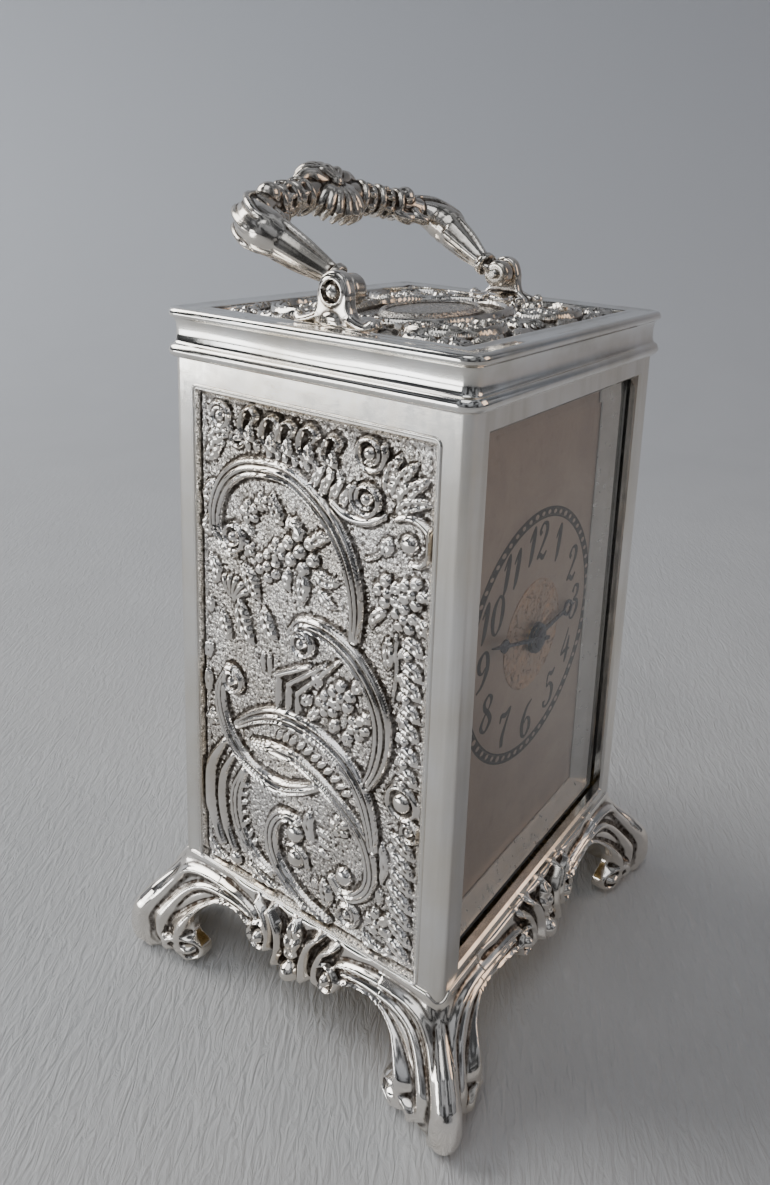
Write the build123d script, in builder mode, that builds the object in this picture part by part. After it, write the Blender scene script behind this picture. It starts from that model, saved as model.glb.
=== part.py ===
"""Silver-cased carriage clock with a swinging handle, a hinged rear door and a running train.

Millimetres. +Z is up, the dial faces -Y, and the origin is on the floor under the middle of the case.
"""
from build123d import *
from math import atan2, cos, pi, radians, sin, sqrt, tan
import os

os.makedirs("parts", exist_ok=True)

# ---- case ----
case_width = 54.0
case_depth = 48.0
half_width = case_width / 2
half_depth = case_depth / 2
wall = 1.5
corner_round = 1.4
body_bottom = 15.5
body_top = 94.2

window_half_x = 22.6
window_bottom = 18.8
window_top = 91.3
panel_half_y = 19.7
panel_bottom = 17.3
panel_top = 90.3
door_half_x = 22.0
door_bottom = 20.0
door_top = 90.0

# ---- cornice and top ----
rib_out = 1.1
rib_bottom = 94.2
rib_top = 96.4
band_out = 0.2
lip_out = 0.95
lip_bottom = 99.8
lip_top = 101.0
lip_width = 4.0
top_plate_bottom = 99.4
top_plate_top = 100.3

# ---- feet and aprons ----
foot_wing = 9.0
foot_wall = 2.4
flare = {15.5: 0.1, 12.0: 0.5, 9.0: 2.2, 6.2: 5.0, 3.0: 5.2, 0.0: 3.8}
apron_bottom = 5.4

# ---- handle ----
pivot_z = 105.0
handle_lean = 61.0
ear_inner = 20.4
ear_outer = 22.2
pin_radius = 0.8
running = 0.05

# ---- glass, dial and hands ----
glass_front = -22.5
glass_back = -21.3
dial_front = -19.2
dial_back = -18.2
hub_z = 55.6
hour_hand_y = (-20.0, -19.7)
minute_hand_y = (-20.7, -20.4)

# ---- movement ----
front_plate = (-14.6, -13.1)
back_plate = (6.4, 7.9)
plate_half_x = 20.0
plate_bottom = 23.0
plate_top = 77.4
arbor_radius = 0.5
pivot_radius = 0.35
winding_radius = 1.6

tooth_share = 0.43
addendum = 0.75
dedendum = 1.05

mesh_play = 0.02
great_teeth, centre_leaves, great_module = 72, 10, 0.40
centre_teeth, third_leaves, centre_module = 64, 8, 0.34
third_teeth, contrate_leaves, third_module = 60, 8, 0.28
contrate_teeth, escape_leaves, contrate_module = 56, 7, 0.24
cannon_leaves, minute_teeth, minute_module = 12, 36, 0.30
minute_leaves, hour_teeth, hour_module = 10, 40, 0.288


def gear_distance(first, second, module):
    return module * (first + second) / 2 + mesh_play


barrel_x = -4.0
barrel_z = hub_z - sqrt(gear_distance(great_teeth, centre_leaves, great_module) ** 2 - barrel_x**2)
third_x = 8.5
third_z = hub_z + sqrt(gear_distance(centre_teeth, third_leaves, centre_module) ** 2 - third_x**2)
contrate_x = 0.0
contrate_z = third_z + sqrt(
    gear_distance(third_teeth, contrate_leaves, third_module) ** 2 - (third_x - contrate_x) ** 2
)
minute_x = gear_distance(cannon_leaves, minute_teeth, minute_module)

contrate_radius = contrate_module * contrate_teeth / 2
escape_y = -8.9
platform_bottom = plate_top
platform_top = plate_top + 1.0
escape_wheel_z = platform_top + 1.6
lever_y = -4.9
balance_y = 0.6
balance_z = platform_top + 5.2
train_cock_z = platform_top + 3.6
balance_cock_z = platform_top + 8.0


def save(part, name):
    part.label = name
    export_step(part, f"parts/{name}.step")


def across(rear):
    """Sketch plane across the clock whose extrusions run forward from y = rear."""
    return Plane.XZ.offset(-rear)


def disc(centre_x, centre_z, radius, span, mode=Mode.ADD):
    """Round bar along Y between the two y values of span."""
    front, rear = span
    with BuildSketch(across(rear)) as outline:
        with Locations((centre_x, centre_z)):
            Circle(radius)
    extrude(outline.sketch, amount=rear - front, mode=mode)


def tooth_points(teeth, module, centre, phase):
    """Closed outline of a spur gear whose first tooth points along phase."""
    pitch_radius = module * teeth / 2
    half_tooth = tooth_share * pi * module / 2
    tip_radius = pitch_radius + addendum * module
    root_radius = pitch_radius - dedendum * module
    at_pitch = half_tooth / pitch_radius
    at_tip = (half_tooth - addendum * module * tan(radians(24))) / tip_radius
    at_root = at_pitch
    if teeth > 20:
        at_root = (half_tooth + dedendum * module * tan(radians(12))) / root_radius
    points = []
    for index in range(teeth):
        middle = phase + 2 * pi * index / teeth
        flank = ((at_root, root_radius), (at_pitch, pitch_radius), (at_tip, tip_radius))
        rise = [(-half, radius) for half, radius in flank]
        fall = [(half, radius) for half, radius in reversed(flank)]
        for half, radius in rise + fall:
            angle = middle + half
            points.append((centre[0] + radius * cos(angle), centre[1] + radius * sin(angle)))
    return points


def toothed(teeth, module, centre, phase, span):
    """Spur gear along Y between the two y values of span."""
    front, rear = span
    with BuildSketch(across(rear)) as outline:
        with BuildLine():
            Polyline(*tooth_points(teeth, module, centre, phase), close=True)
        make_face()
    extrude(outline.sketch, amount=rear - front)


def crossings(centre, inner, outer, span, count=4):
    """Cut the openings between the spokes of a wheel."""
    front, rear = span
    spoke = 0.5
    with BuildSketch(across(rear)) as outline:
        with Locations(centre):
            Circle(outer)
            Circle(inner, mode=Mode.SUBTRACT)
            for index in range(count // 2):
                Rectangle(2 * outer + 1, 2 * spoke, rotation=45 + 180 / (count // 2) * index, mode=Mode.SUBTRACT)
    extrude(outline.sketch, amount=rear - front, mode=Mode.SUBTRACT)


def slab(x_span, y_span, z_span, mode=Mode.ADD):
    """Rectangular block given by its limits along each axis."""
    size = [high - low for low, high in (x_span, y_span, z_span)]
    middle = tuple((high + low) / 2 for low, high in (x_span, y_span, z_span))
    with Locations(middle):
        Box(*size, mode=mode)


# ================= case walls =================
with BuildPart() as case_front:
    slab((-half_width, half_width), (-half_depth, -half_depth + wall), (body_bottom, body_top))
    outer_edges = case_front.edges().filter_by(Axis.Z).group_by(Axis.Y)[0]
    fillet(outer_edges, corner_round)
    slab(
        (-window_half_x, window_half_x),
        (-half_depth - 1, -half_depth + wall + 1),
        (window_bottom, window_top),
        mode=Mode.SUBTRACT,
    )
    front_rim = case_front.faces().filter_by(Axis.Y).sort_by(Axis.Y)[0].inner_wires()[0].edges()
    chamfer(front_rim, 0.35)
save(case_front.part, "case_front")

with BuildPart() as case_rear:
    slab((-half_width, half_width), (half_depth - wall, half_depth), (body_bottom, body_top))
    outer_edges = case_rear.edges().filter_by(Axis.Z).group_by(Axis.Y)[-1]
    fillet(outer_edges, corner_round)
    slab(
        (-door_half_x, door_half_x),
        (half_depth - wall - 1, half_depth + 1),
        (door_bottom, door_top),
        mode=Mode.SUBTRACT,
    )
save(case_rear.part, "case_rear")

side_half = half_depth - wall
with BuildPart() as case_left:
    slab((-half_width, -half_width + wall), (-side_half, side_half), (body_bottom, body_top))
    slab(
        (-half_width - 1, -half_width + wall + 1),
        (-panel_half_y, panel_half_y),
        (panel_bottom, panel_top),
        mode=Mode.SUBTRACT,
    )
save(case_left.part, "case_left")
save(mirror(case_left.part, about=Plane.YZ), "case_right")

# ================= chased side panels =================
# Each band is (start, middle, end, width) with points as (distance towards the rear, height).
scroll_bands = [
    ((14.2, 72.0), (8.0, 83.6), (-6.4, 62.0), 2.6),
    ((14.6, 71.6), (15.8, 77.6), (11.4, 82.2), 1.8),
    ((0.2, 62.0), (-9.4, 56.0), (-7.0, 44.6), 2.6),
    ((13.2, 57.6), (12.2, 49.6), (1.4, 39.6), 2.4),
    ((11.4, 48.4), (3.0, 51.8), (-6.2, 36.4), 2.4),
    ((3.2, 33.4), (4.6, 26.8), (-4.6, 21.0), 2.4),
]
panel_ground = half_width - 0.9
panel_thickness = 0.8
relief = 0.9
with BuildPart() as panel_left:
    slab(
        (-panel_ground, -panel_ground + panel_thickness),
        (-panel_half_y, panel_half_y),
        (panel_bottom, panel_top),
    )
    for start, middle, end, width in scroll_bands:
        with BuildSketch(Plane.YZ.offset(-panel_ground - relief)) as band:
            with BuildLine(mode=Mode.PRIVATE):
                centre_line = ThreePointArc(start, middle, end)
            SlotArc(centre_line, width)
        extrude(band.sketch, amount=relief + 0.1)
save(panel_left.part, "panel_left")
save(mirror(panel_left.part, about=Plane.YZ), "panel_right")

# ================= cornice =================
opening_x = 2 * (half_width - lip_width)
opening_y = 2 * (half_depth - lip_width)


def cornice_step(out, low, high):
    with BuildSketch(Plane.XY.offset(low)) as outline:
        RectangleRounded(case_width + 2 * out, case_depth + 2 * out, corner_round + out)
    extrude(outline.sketch, amount=high - low)


with BuildPart() as cornice:
    cornice_step(rib_out, rib_bottom, rib_top)
    fillet(cornice.edges().filter_by(lambda edge: abs(edge.center().Z - rib_top) < 0.01), 1.0)
    fillet(cornice.edges().filter_by(lambda edge: abs(edge.center().Z - rib_bottom) < 0.01), 1.0)
    cornice_step(band_out, rib_top - 0.2, lip_bottom + 0.1)
    cornice_step(lip_out, lip_bottom, lip_top)
    fillet(cornice.edges().filter_by(lambda edge: abs(edge.center().Z - lip_top) < 0.01), 0.45)
    with BuildSketch(Plane.XY.offset(rib_bottom - 1)) as hollow:
        Rectangle(opening_x - 2, opening_y - 2)
    extrude(hollow.sketch, amount=lip_top - rib_bottom + 2, mode=Mode.SUBTRACT)
    with BuildSketch(Plane.XY.offset(top_plate_bottom)) as rebate:
        Rectangle(opening_x, opening_y)
    extrude(rebate.sketch, amount=lip_top, mode=Mode.SUBTRACT)
save(cornice.part, "cornice")

with BuildPart() as top_plate:
    slab(
        (-opening_x / 2, opening_x / 2),
        (-opening_y / 2, opening_y / 2),
        (top_plate_bottom, top_plate_top),
    )
    with BuildSketch(Plane.XY.offset(top_plate_top - 0.1)) as cartouche:
        Ellipse(8.5, 4.6)
    extrude(cartouche.sketch, amount=0.5, taper=20)
save(top_plate.part, "top_plate")

# ================= base plate, aprons and feet =================
with BuildPart() as base_plate:
    slab(
        (-half_width + wall, half_width - wall),
        (-side_half, side_half),
        (body_bottom, body_bottom + 1.5),
    )
save(base_plate.part, "base_plate")


def apron_edge(inner):
    """Lower edge of an apron from its middle out to the distance inner."""
    return [
        (0, apron_bottom),
        (3.0, apron_bottom + 0.5),
        (6.4, 7.2),
        (9.6, 7.4),
        (inner - 6.0, 9.2),
        (inner - 2.6, 9.9),
        (inner, 9.4),
    ]


def apron(plane, inner, face):
    """Apron standing at the distance face in front of the middle of the clock."""
    edge = apron_edge(inner)
    mirrored = [(-x, z) for x, z in reversed(edge[1:])]
    with BuildPart() as piece:
        with BuildSketch(plane.offset(face - wall - 1.0)) as outline:
            with BuildLine():
                lower = Spline(*(mirrored + edge))
                Polyline(lower @ 1, (inner, body_bottom), (-inner, body_bottom), lower @ 0)
            make_face()
        extrude(outline.sketch, amount=wall + 4.0)
        side = Plane(origin=plane.x_dir * -(inner + 1), x_dir=plane.z_dir, z_dir=plane.x_dir)
        flip = 1 if side.y_dir.Z > 0 else -1
        section = [
            (face - wall - 0.6, body_bottom),
            (face + 0.3, body_bottom),
            (face + 0.5, 12.4),
            (face + 1.7, 8.0),
            (face + 1.9, 5.0),
            (face + 0.3, 5.0),
            (face - 0.6, 9.0),
            (face - wall - 0.6, 12.0),
        ]
        with BuildSketch(side) as profile:
            with BuildLine():
                Polyline(*[(out, flip * z) for out, z in section], close=True)
            make_face()
        extrude(profile.sketch, amount=2 * inner + 2, mode=Mode.INTERSECT)
    return piece.part


front_facing = Plane.XZ
left_facing = Plane(origin=(0, 0, 0), x_dir=(0, -1, 0), z_dir=(-1, 0, 0))
apron_half_x = half_width - foot_wing
apron_half_y = half_depth - foot_wing
front_apron = apron(front_facing, apron_half_x, half_depth)
left_apron = apron(left_facing, apron_half_y, half_width)
save(front_apron, "apron_front")
save(mirror(front_apron, about=Plane.XZ), "apron_rear")
save(left_apron, "apron_left")
save(mirror(left_apron, about=Plane.YZ), "apron_right")


def foot_section(height, out, inset):
    """Outline of a corner foot at one height, or of its hollow when inset is above zero."""
    far_x = half_width + out - inset
    far_y = half_depth + out - inset
    near_x = half_width - foot_wing - (1 if inset else 0)
    near_y = half_depth - foot_wing - (1 if inset else 0)
    cut = 1.6
    with BuildSketch(Plane.XY.offset(height)) as outline:
        with BuildLine():
            Polyline(
                (near_x, near_y),
                (far_x, near_y),
                (far_x, far_y - cut),
                (far_x - cut, far_y),
                (near_x, far_y),
                close=True,
            )
        make_face()
    return outline.sketch


def foot_arch(corner):
    """Inner edge of a foot seen from the side, with the body's corner at the distance corner."""
    return [
        (corner - foot_wing - 2, -1),
        (corner - 6.6, -1),
        (corner - 6.6, 0.6),
        (corner - 5.8, 2.6),
        (corner - 6.0, 5.4),
        (corner - 7.4, 8.4),
        (corner - foot_wing, 9.4),
        (corner - foot_wing - 2, 9.4),
    ]


with BuildPart() as foot:
    loft([foot_section(height, out, 0) for height, out in flare.items()], ruled=True)
    hollow = [foot_section(height, out, foot_wall) for height, out in flare.items()]
    loft(hollow, ruled=True, mode=Mode.SUBTRACT)
    with BuildSketch(Plane.XZ.offset(-half_depth - 8)) as front_arch:
        with BuildLine():
            Polyline(*foot_arch(half_width), close=True)
        make_face()
    extrude(front_arch.sketch, amount=half_depth, mode=Mode.SUBTRACT)
    with BuildSketch(Plane.YZ.offset(2)) as side_arch:
        with BuildLine():
            Polyline(*foot_arch(half_depth), close=True)
        make_face()
    extrude(side_arch.sketch, amount=half_width + 8, mode=Mode.SUBTRACT)
rear_right_foot = foot.part
rear_left_foot = mirror(rear_right_foot, about=Plane.YZ)
save(rear_right_foot, "foot_rear_right")
save(rear_left_foot, "foot_rear_left")
save(mirror(rear_right_foot, about=Plane.XZ), "foot_front_right")
save(mirror(rear_left_foot, about=Plane.XZ), "foot_front_left")

# ================= handle and its brackets =================
ear_middle = (ear_inner + ear_outer) / 2
with BuildPart() as bracket:
    slab((ear_inner, ear_outer), (-3.2, 3.2), (top_plate_top, pivot_z))
    with BuildSketch(Plane.YZ.offset(ear_inner)) as round_top:
        with Locations((0, pivot_z)):
            Circle(2.7)
    extrude(round_top.sketch, amount=ear_outer - ear_inner)
    with BuildSketch(Plane.XY.offset(top_plate_top)) as leaf_base:
        with Locations((ear_middle - 1.2, 0)):
            Ellipse(3.0, 5.0)
        with Locations((half_width, 0)):
            Rectangle(2 * (half_width - ear_outer - 0.6), 12, mode=Mode.SUBTRACT)
    extrude(leaf_base.sketch, amount=1.0)
    with BuildSketch(Plane.YZ.offset(0)) as pin_hole:
        with Locations((0, pivot_z)):
            Circle(pin_radius)
    extrude(pin_hole.sketch, amount=30, mode=Mode.SUBTRACT)
save(bracket.part, "bracket_right")
save(mirror(bracket.part, about=Plane.YZ), "bracket_left")

with BuildPart() as handle_pins:
    for side in (-1, 1):
        with BuildSketch(Plane.YZ.offset(side * 16.6)) as shank:
            with Locations((0, pivot_z)):
                Circle(pin_radius)
        extrude(shank.sketch, amount=side * (ear_outer - 16.6))
        with BuildSketch(Plane.YZ.offset(side * ear_outer)) as head:
            with Locations((0, pivot_z)):
                Circle(1.35)
        extrude(head.sketch, amount=side * 0.55, taper=25)
save(handle_pins.part, "handle_pins")

# Points are (distance from the middle, reach from the pivot) in the plane of the handle.
arm_start = (18.1, 0)
arm_root = (18.1, 3.0)
arm_bends = [
    (20.2, 9.0),
    (21.4, 13.6),
    (19.2, 18.2),
    (13.6, 21.0),
    (7.0, 22.4),
    (0, 23.57),
]
arm_radius = 1.9
knuckle_radius = 2.3
knuckle_inner = 17.4
knuckle_outer = 20.2
ball_axis_along_bar = (0, 90, 0)
lean = radians(handle_lean)
handle_plane = Plane(origin=(0, 0, pivot_z), x_dir=(1, 0, 0), z_dir=(0, -cos(lean), sin(lean)))

with BuildPart() as handle:
    for side in (-1, 1):
        with BuildLine(handle_plane) as arm:
            edge = Line((side * arm_start[0], arm_start[1]), (side * arm_root[0], arm_root[1]))
            for reach_x, reach in arm_bends:
                edge = TangentArc(edge @ 1, (side * reach_x, reach), tangent=edge % 1)
        start = Plane(origin=arm.line @ 0, z_dir=arm.line % 0)
        with BuildSketch(start) as arm_section:
            Circle(arm_radius)
        sweep(arm_section.sketch, path=arm.line)
    with Locations(handle_plane * Location((0, 23.6, 0))):
        Sphere(4.6, rotation=ball_axis_along_bar)
    for side in (-1, 1):
        with Locations(handle_plane * Location((side * 4.6, 23.2, 0))):
            Sphere(3.4, rotation=ball_axis_along_bar)
        with Locations(handle_plane * Location((side * 20.6, 15.8, 0))):
            Sphere(2.7, rotation=ball_axis_along_bar)
        with BuildSketch(Plane.YZ.offset(side * knuckle_inner)) as knuckle:
            with Locations((0, pivot_z)):
                Circle(knuckle_radius)
        extrude(knuckle.sketch, amount=side * (knuckle_outer - knuckle_inner))
        with BuildSketch(Plane.YZ) as bore:
            with Locations((0, pivot_z)):
                Circle(pin_radius + running)
        extrude(bore.sketch, amount=side * 30, mode=Mode.SUBTRACT)
save(handle.part, "handle")

# ================= front glass and its frame =================
glass_half_x = 24.4
glass_bottom = 17.4
glass_top = 92.8
bevel_width = 4.0
bevel_depth = 0.5


def glass_outline(y, inset):
    with BuildSketch(across(y)) as outline:
        with Locations((0, (glass_bottom + glass_top) / 2)):
            Rectangle(2 * (glass_half_x - inset), glass_top - glass_bottom - 2 * inset)
    return outline.sketch


with BuildPart() as front_glass:
    slab((-glass_half_x, glass_half_x), (glass_front + bevel_depth, glass_back), (glass_bottom, glass_top))
    loft([glass_outline(glass_front + bevel_depth, 0), glass_outline(glass_front, bevel_width)], ruled=True)
save(front_glass.part, "front_glass")

with BuildPart() as glass_frame:
    slab((-25.2, 25.2), (glass_back, glass_back + 0.8), (17.0, 93.6))
    slab((-22.4, 22.4), (glass_back - 1, glass_back + 2), (19.0, 91.1), mode=Mode.SUBTRACT)
save(glass_frame.part, "glass_frame")

# ================= dial =================
dial_half_x = 21.6
dial_bottom = 20.2
dial_top = 90.4
hour_pipe_outer = 1.7
with BuildPart() as dial_plate:
    slab((-dial_half_x, dial_half_x), (dial_front, dial_back), (dial_bottom, dial_top))
    disc(0, hub_z, hour_pipe_outer + 0.3, (dial_front - 1, dial_back + 1), Mode.SUBTRACT)
save(dial_plate.part, "dial_plate")

with BuildPart() as dial_centre:
    disc(0, hub_z, 9.4, (dial_front - 0.15, dial_front))
    disc(0, hub_z, hour_pipe_outer + 0.3, (dial_front - 1, dial_front + 1), Mode.SUBTRACT)
save(dial_centre.part, "dial_centre")

with BuildPart() as dial_feet:
    for x in (-17.5, 17.5):
        for z in (30.0, 71.0):
            disc(x, z, 0.9, (dial_back, front_plate[0]))
save(dial_feet.part, "dial_feet")

# ================= movement frame =================
pillar_spots = [(x, z) for x in (-17.0, 17.0) for z in (26.0, 74.4)]


def movement_plate(span, holes):
    with BuildPart() as plate:
        slab((-plate_half_x, plate_half_x), span, (plate_bottom, plate_top))
        for x, z, radius in holes:
            disc(x, z, radius, (span[0] - 1, span[1] + 1), Mode.SUBTRACT)
    return plate.part


centre_arbor_radius = 0.8
train_holes = [
    (barrel_x, barrel_z, winding_radius + running),
    (third_x, third_z, pivot_radius + running),
    (contrate_x, contrate_z, pivot_radius + running),
]
centre_pipe_radius = 1.3
front_holes = train_holes + [(0, hub_z, centre_pipe_radius + running)]
rear_holes = train_holes + [(0, hub_z, centre_pipe_radius + running)]
with BuildPart() as plate_front:
    add(movement_plate(front_plate, front_holes))
    disc(minute_x, hub_z, arbor_radius, (-17.8, front_plate[1]))
save(plate_front.part, "plate_front")
save(movement_plate(back_plate, rear_holes), "plate_back")

with BuildPart() as pillars:
    for x, z in pillar_spots:
        disc(x, z, 1.6, (front_plate[1], back_plate[0]))
save(pillars.part, "pillars")

with BuildPart() as seat_rails:
    for x_span in ((-19.0, -13.0), (13.0, 19.0)):
        slab(x_span, (front_plate[0], back_plate[1]), (body_bottom + 1.5, plate_bottom))
save(seat_rails.part, "seat_rails")

# ================= going barrel =================
barrel_centre = (barrel_x, barrel_z)
great_wheel = (-8.0, -6.4)
drum_radius = 13.5
drum_bore = 12.7
to_centre = atan2(hub_z - barrel_z, -barrel_x)
with BuildPart() as barrel:
    toothed(great_teeth, great_module, barrel_centre, to_centre, great_wheel)
    disc(*barrel_centre, drum_radius, (great_wheel[1], 4.2))
    disc(*barrel_centre, drum_bore, (great_wheel[1], 5.0), Mode.SUBTRACT)
    disc(*barrel_centre, winding_radius + running, (-9.0, 5.0), Mode.SUBTRACT)
save(barrel.part, "barrel")

with BuildPart() as barrel_cover:
    disc(*barrel_centre, drum_bore, (3.4, 4.2))
    disc(*barrel_centre, winding_radius + running, (3.0, 5.0), Mode.SUBTRACT)
save(barrel_cover.part, "barrel_cover")

coil_turns = 9
coil_steps = 20
coil_inner = 4.0
coil_outer = 12.4
coil_strip = 0.3
outward = []
inward = []
for index in range(coil_turns * coil_steps + 1):
    turn = index / coil_steps
    angle = 2 * pi * turn
    radius = coil_inner + (coil_outer - coil_inner) * turn / coil_turns
    outward.append((barrel_x + radius * cos(angle), barrel_z + radius * sin(angle)))
    inward.append((barrel_x + (radius - coil_strip) * cos(angle), barrel_z + (radius - coil_strip) * sin(angle)))
with BuildPart() as mainspring:
    with BuildSketch(across(3.1)) as coil:
        with BuildLine():
            Polyline(*(outward + list(reversed(inward))), close=True)
        make_face()
    extrude(coil.sketch, amount=9.2)
save(mainspring.part, "mainspring")

square = 2.0
with BuildPart() as winding_arbor:
    disc(*barrel_centre, winding_radius, (front_plate[0] + 0.2, back_plate[1] + 1.4))
    slab(
        (barrel_x - square / 2, barrel_x + square / 2),
        (back_plate[1] + 1.3, 17.0),
        (barrel_z - square / 2, barrel_z + square / 2),
    )
save(winding_arbor.part, "winding_arbor")

ratchet_span = (back_plate[1] + 0.2, back_plate[1] + 1.2)
ratchet_teeth = 24
ratchet_radius = 5.0
ratchet_points = []
for index in range(ratchet_teeth):
    for share, radius in ((0.0, ratchet_radius), (0.12, ratchet_radius - 0.7)):
        angle = 2 * pi * (index + share) / ratchet_teeth
        ratchet_points.append((barrel_x + radius * cos(angle), barrel_z + radius * sin(angle)))
with BuildPart() as ratchet_wheel:
    with BuildSketch(across(ratchet_span[1])) as outline:
        with BuildLine():
            Polyline(*ratchet_points, close=True)
        make_face()
    extrude(outline.sketch, amount=ratchet_span[1] - ratchet_span[0])
    disc(*barrel_centre, winding_radius, (ratchet_span[0] - 1, ratchet_span[1] + 1), Mode.SUBTRACT)
save(ratchet_wheel.part, "ratchet_wheel")

click_x = barrel_x + 7.6
click_z = barrel_z + 3.0
click_tip_radius = ratchet_radius + 0.12
with BuildPart() as click:
    disc(click_x, click_z, 1.2, ratchet_span)
    with BuildSketch(across(ratchet_span[1])) as beak:
        with BuildLine():
            Polyline(
                (click_x - 0.9, click_z + 0.7),
                (barrel_x + click_tip_radius * cos(0.75), barrel_z + click_tip_radius * sin(0.75) + 0.9),
                (barrel_x + click_tip_radius * cos(0.72), barrel_z + click_tip_radius * sin(0.72)),
                (click_x - 0.9, click_z - 0.6),
                close=True,
            )
        make_face()
    extrude(beak.sketch, amount=ratchet_span[1] - ratchet_span[0])
    disc(click_x, click_z, 0.5 + running, (ratchet_span[0] - 1, ratchet_span[1] + 1), Mode.SUBTRACT)
save(click.part, "click")

with BuildPart() as click_screw:
    disc(click_x, click_z, 0.5, (back_plate[1], ratchet_span[1] + 0.1))
    disc(click_x, click_z, 1.0, (ratchet_span[1] + 0.1, ratchet_span[1] + 0.6))
save(click_screw.part, "click_screw")

# ================= going train =================
centre = (0, hub_z)
third_centre = (third_x, third_z)
contrate_centre = (contrate_x, contrate_z)
centre_wheel_span = (-12.7, -12.0)
third_wheel_span = (2.0, 2.7)
contrate_web = (-10.9, -10.2)
contrate_tip_y = escape_y - contrate_module * (escape_leaves / 2 - addendum)

with BuildPart() as centre_wheel:
    direction = atan2(third_z - hub_z, third_x)
    toothed(centre_teeth, centre_module, centre, direction, centre_wheel_span)
    crossings(centre, 3.2, 9.2, (centre_wheel_span[0] - 1, centre_wheel_span[1] + 1))
    back_to_barrel = atan2(barrel_z - hub_z, barrel_x)
    toothed(centre_leaves, great_module, centre, back_to_barrel - pi / centre_leaves, (-12.0, -6.0))
    disc(*centre, centre_pipe_radius, (front_plate[0] + 0.2, back_plate[1] - 0.2))
    disc(*centre, centre_arbor_radius + running, (-20, 10), Mode.SUBTRACT)
save(centre_wheel.part, "centre_wheel")

with BuildPart() as third_wheel:
    disc(*third_centre, arbor_radius, (front_plate[1] + 0.1, back_plate[0] - 0.1))
    disc(*third_centre, pivot_radius, (front_plate[0] + 0.1, back_plate[1] - 0.1))
    toward_contrate = atan2(contrate_z - third_z, contrate_x - third_x)
    toothed(third_teeth, third_module, third_centre, toward_contrate, third_wheel_span)
    crossings(third_centre, 2.4, 6.9, (third_wheel_span[0] - 1, third_wheel_span[1] + 1))
    toward_centre = atan2(hub_z - third_z, -third_x)
    toothed(third_leaves, centre_module, third_centre, toward_centre - pi / third_leaves, (-12.9, -11.6))
save(third_wheel.part, "third_wheel")

with BuildPart() as contrate_wheel:
    disc(*contrate_centre, arbor_radius, (front_plate[1] + 0.1, back_plate[0] - 0.1))
    disc(*contrate_centre, pivot_radius, (front_plate[0] + 0.1, back_plate[1] - 0.1))
    toward_third = atan2(third_z - contrate_z, third_x - contrate_x)
    toothed(contrate_leaves, third_module, contrate_centre, toward_third - pi / contrate_leaves, (1.6, 3.1))
    disc(*contrate_centre, contrate_radius + 0.35, contrate_web)
    crossings(contrate_centre, 1.9, 5.6, (contrate_web[0] - 1, contrate_web[1] + 1))
    tooth_root = contrate_tip_y - contrate_module * (addendum + dedendum)
    with BuildSketch(across(tooth_root)) as rim:
        with Locations(contrate_centre):
            Circle(contrate_radius + 0.35)
            Circle(contrate_radius - 0.35, mode=Mode.SUBTRACT)
    extrude(rim.sketch, amount=tooth_root - contrate_web[1] + 0.1)
    half_tooth = tooth_share * pi * contrate_module / 2
    with BuildSketch(Plane.XY.offset(contrate_z + contrate_radius - 0.34)) as crown_tooth:
        with BuildLine():
            Polyline(
                (-half_tooth * 1.25, tooth_root - 0.05),
                (-half_tooth * 0.5, contrate_tip_y),
                (half_tooth * 0.5, contrate_tip_y),
                (half_tooth * 1.25, tooth_root - 0.05),
                close=True,
            )
        make_face()
    one_tooth = extrude(crown_tooth.sketch, amount=0.66, mode=Mode.PRIVATE)
    spin = Axis((contrate_x, 0, contrate_z), (0, 1, 0))
    add([one_tooth.rotate(spin, 360 * index / contrate_teeth) for index in range(contrate_teeth)])
save(contrate_wheel.part, "contrate_wheel")

# ================= motion work and hands =================
cannon_span = (-16.0, -15.0)
pipe_radius = 1.2
with BuildPart() as centre_arbor:
    disc(*centre, centre_arbor_radius, (cannon_span[0], 12.0))
    slab((-0.7, 0.7), (11.9, 17.0), (hub_z - 0.7, hub_z + 0.7))
save(centre_arbor.part, "centre_arbor")

with BuildPart() as cannon_pinion:
    disc(*centre, pipe_radius, (minute_hand_y[0] - 0.1, cannon_span[1]))
    toothed(cannon_leaves, minute_module, centre, 0, cannon_span)
    disc(*centre, centre_arbor_radius, (cannon_span[0], cannon_span[1] + 0.1), Mode.SUBTRACT)
save(cannon_pinion.part, "cannon_pinion")

minute_centre = (minute_x, hub_z)
with BuildPart() as minute_wheel:
    toothed(minute_teeth, minute_module, minute_centre, pi - pi / minute_teeth, cannon_span)
    toothed(minute_leaves, hour_module, minute_centre, pi - pi / minute_leaves, (-17.5, -16.0))
    disc(*minute_centre, arbor_radius + running, (-18, -14), Mode.SUBTRACT)
save(minute_wheel.part, "minute_wheel")

with BuildPart() as hour_wheel:
    toothed(hour_teeth, hour_module, centre, 0, (-17.3, -16.3))
    disc(*centre, hour_pipe_outer, (hour_hand_y[0], -16.3))
    disc(*centre, pipe_radius + running, (-22, -16), Mode.SUBTRACT)
save(hour_wheel.part, "hour_wheel")


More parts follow.
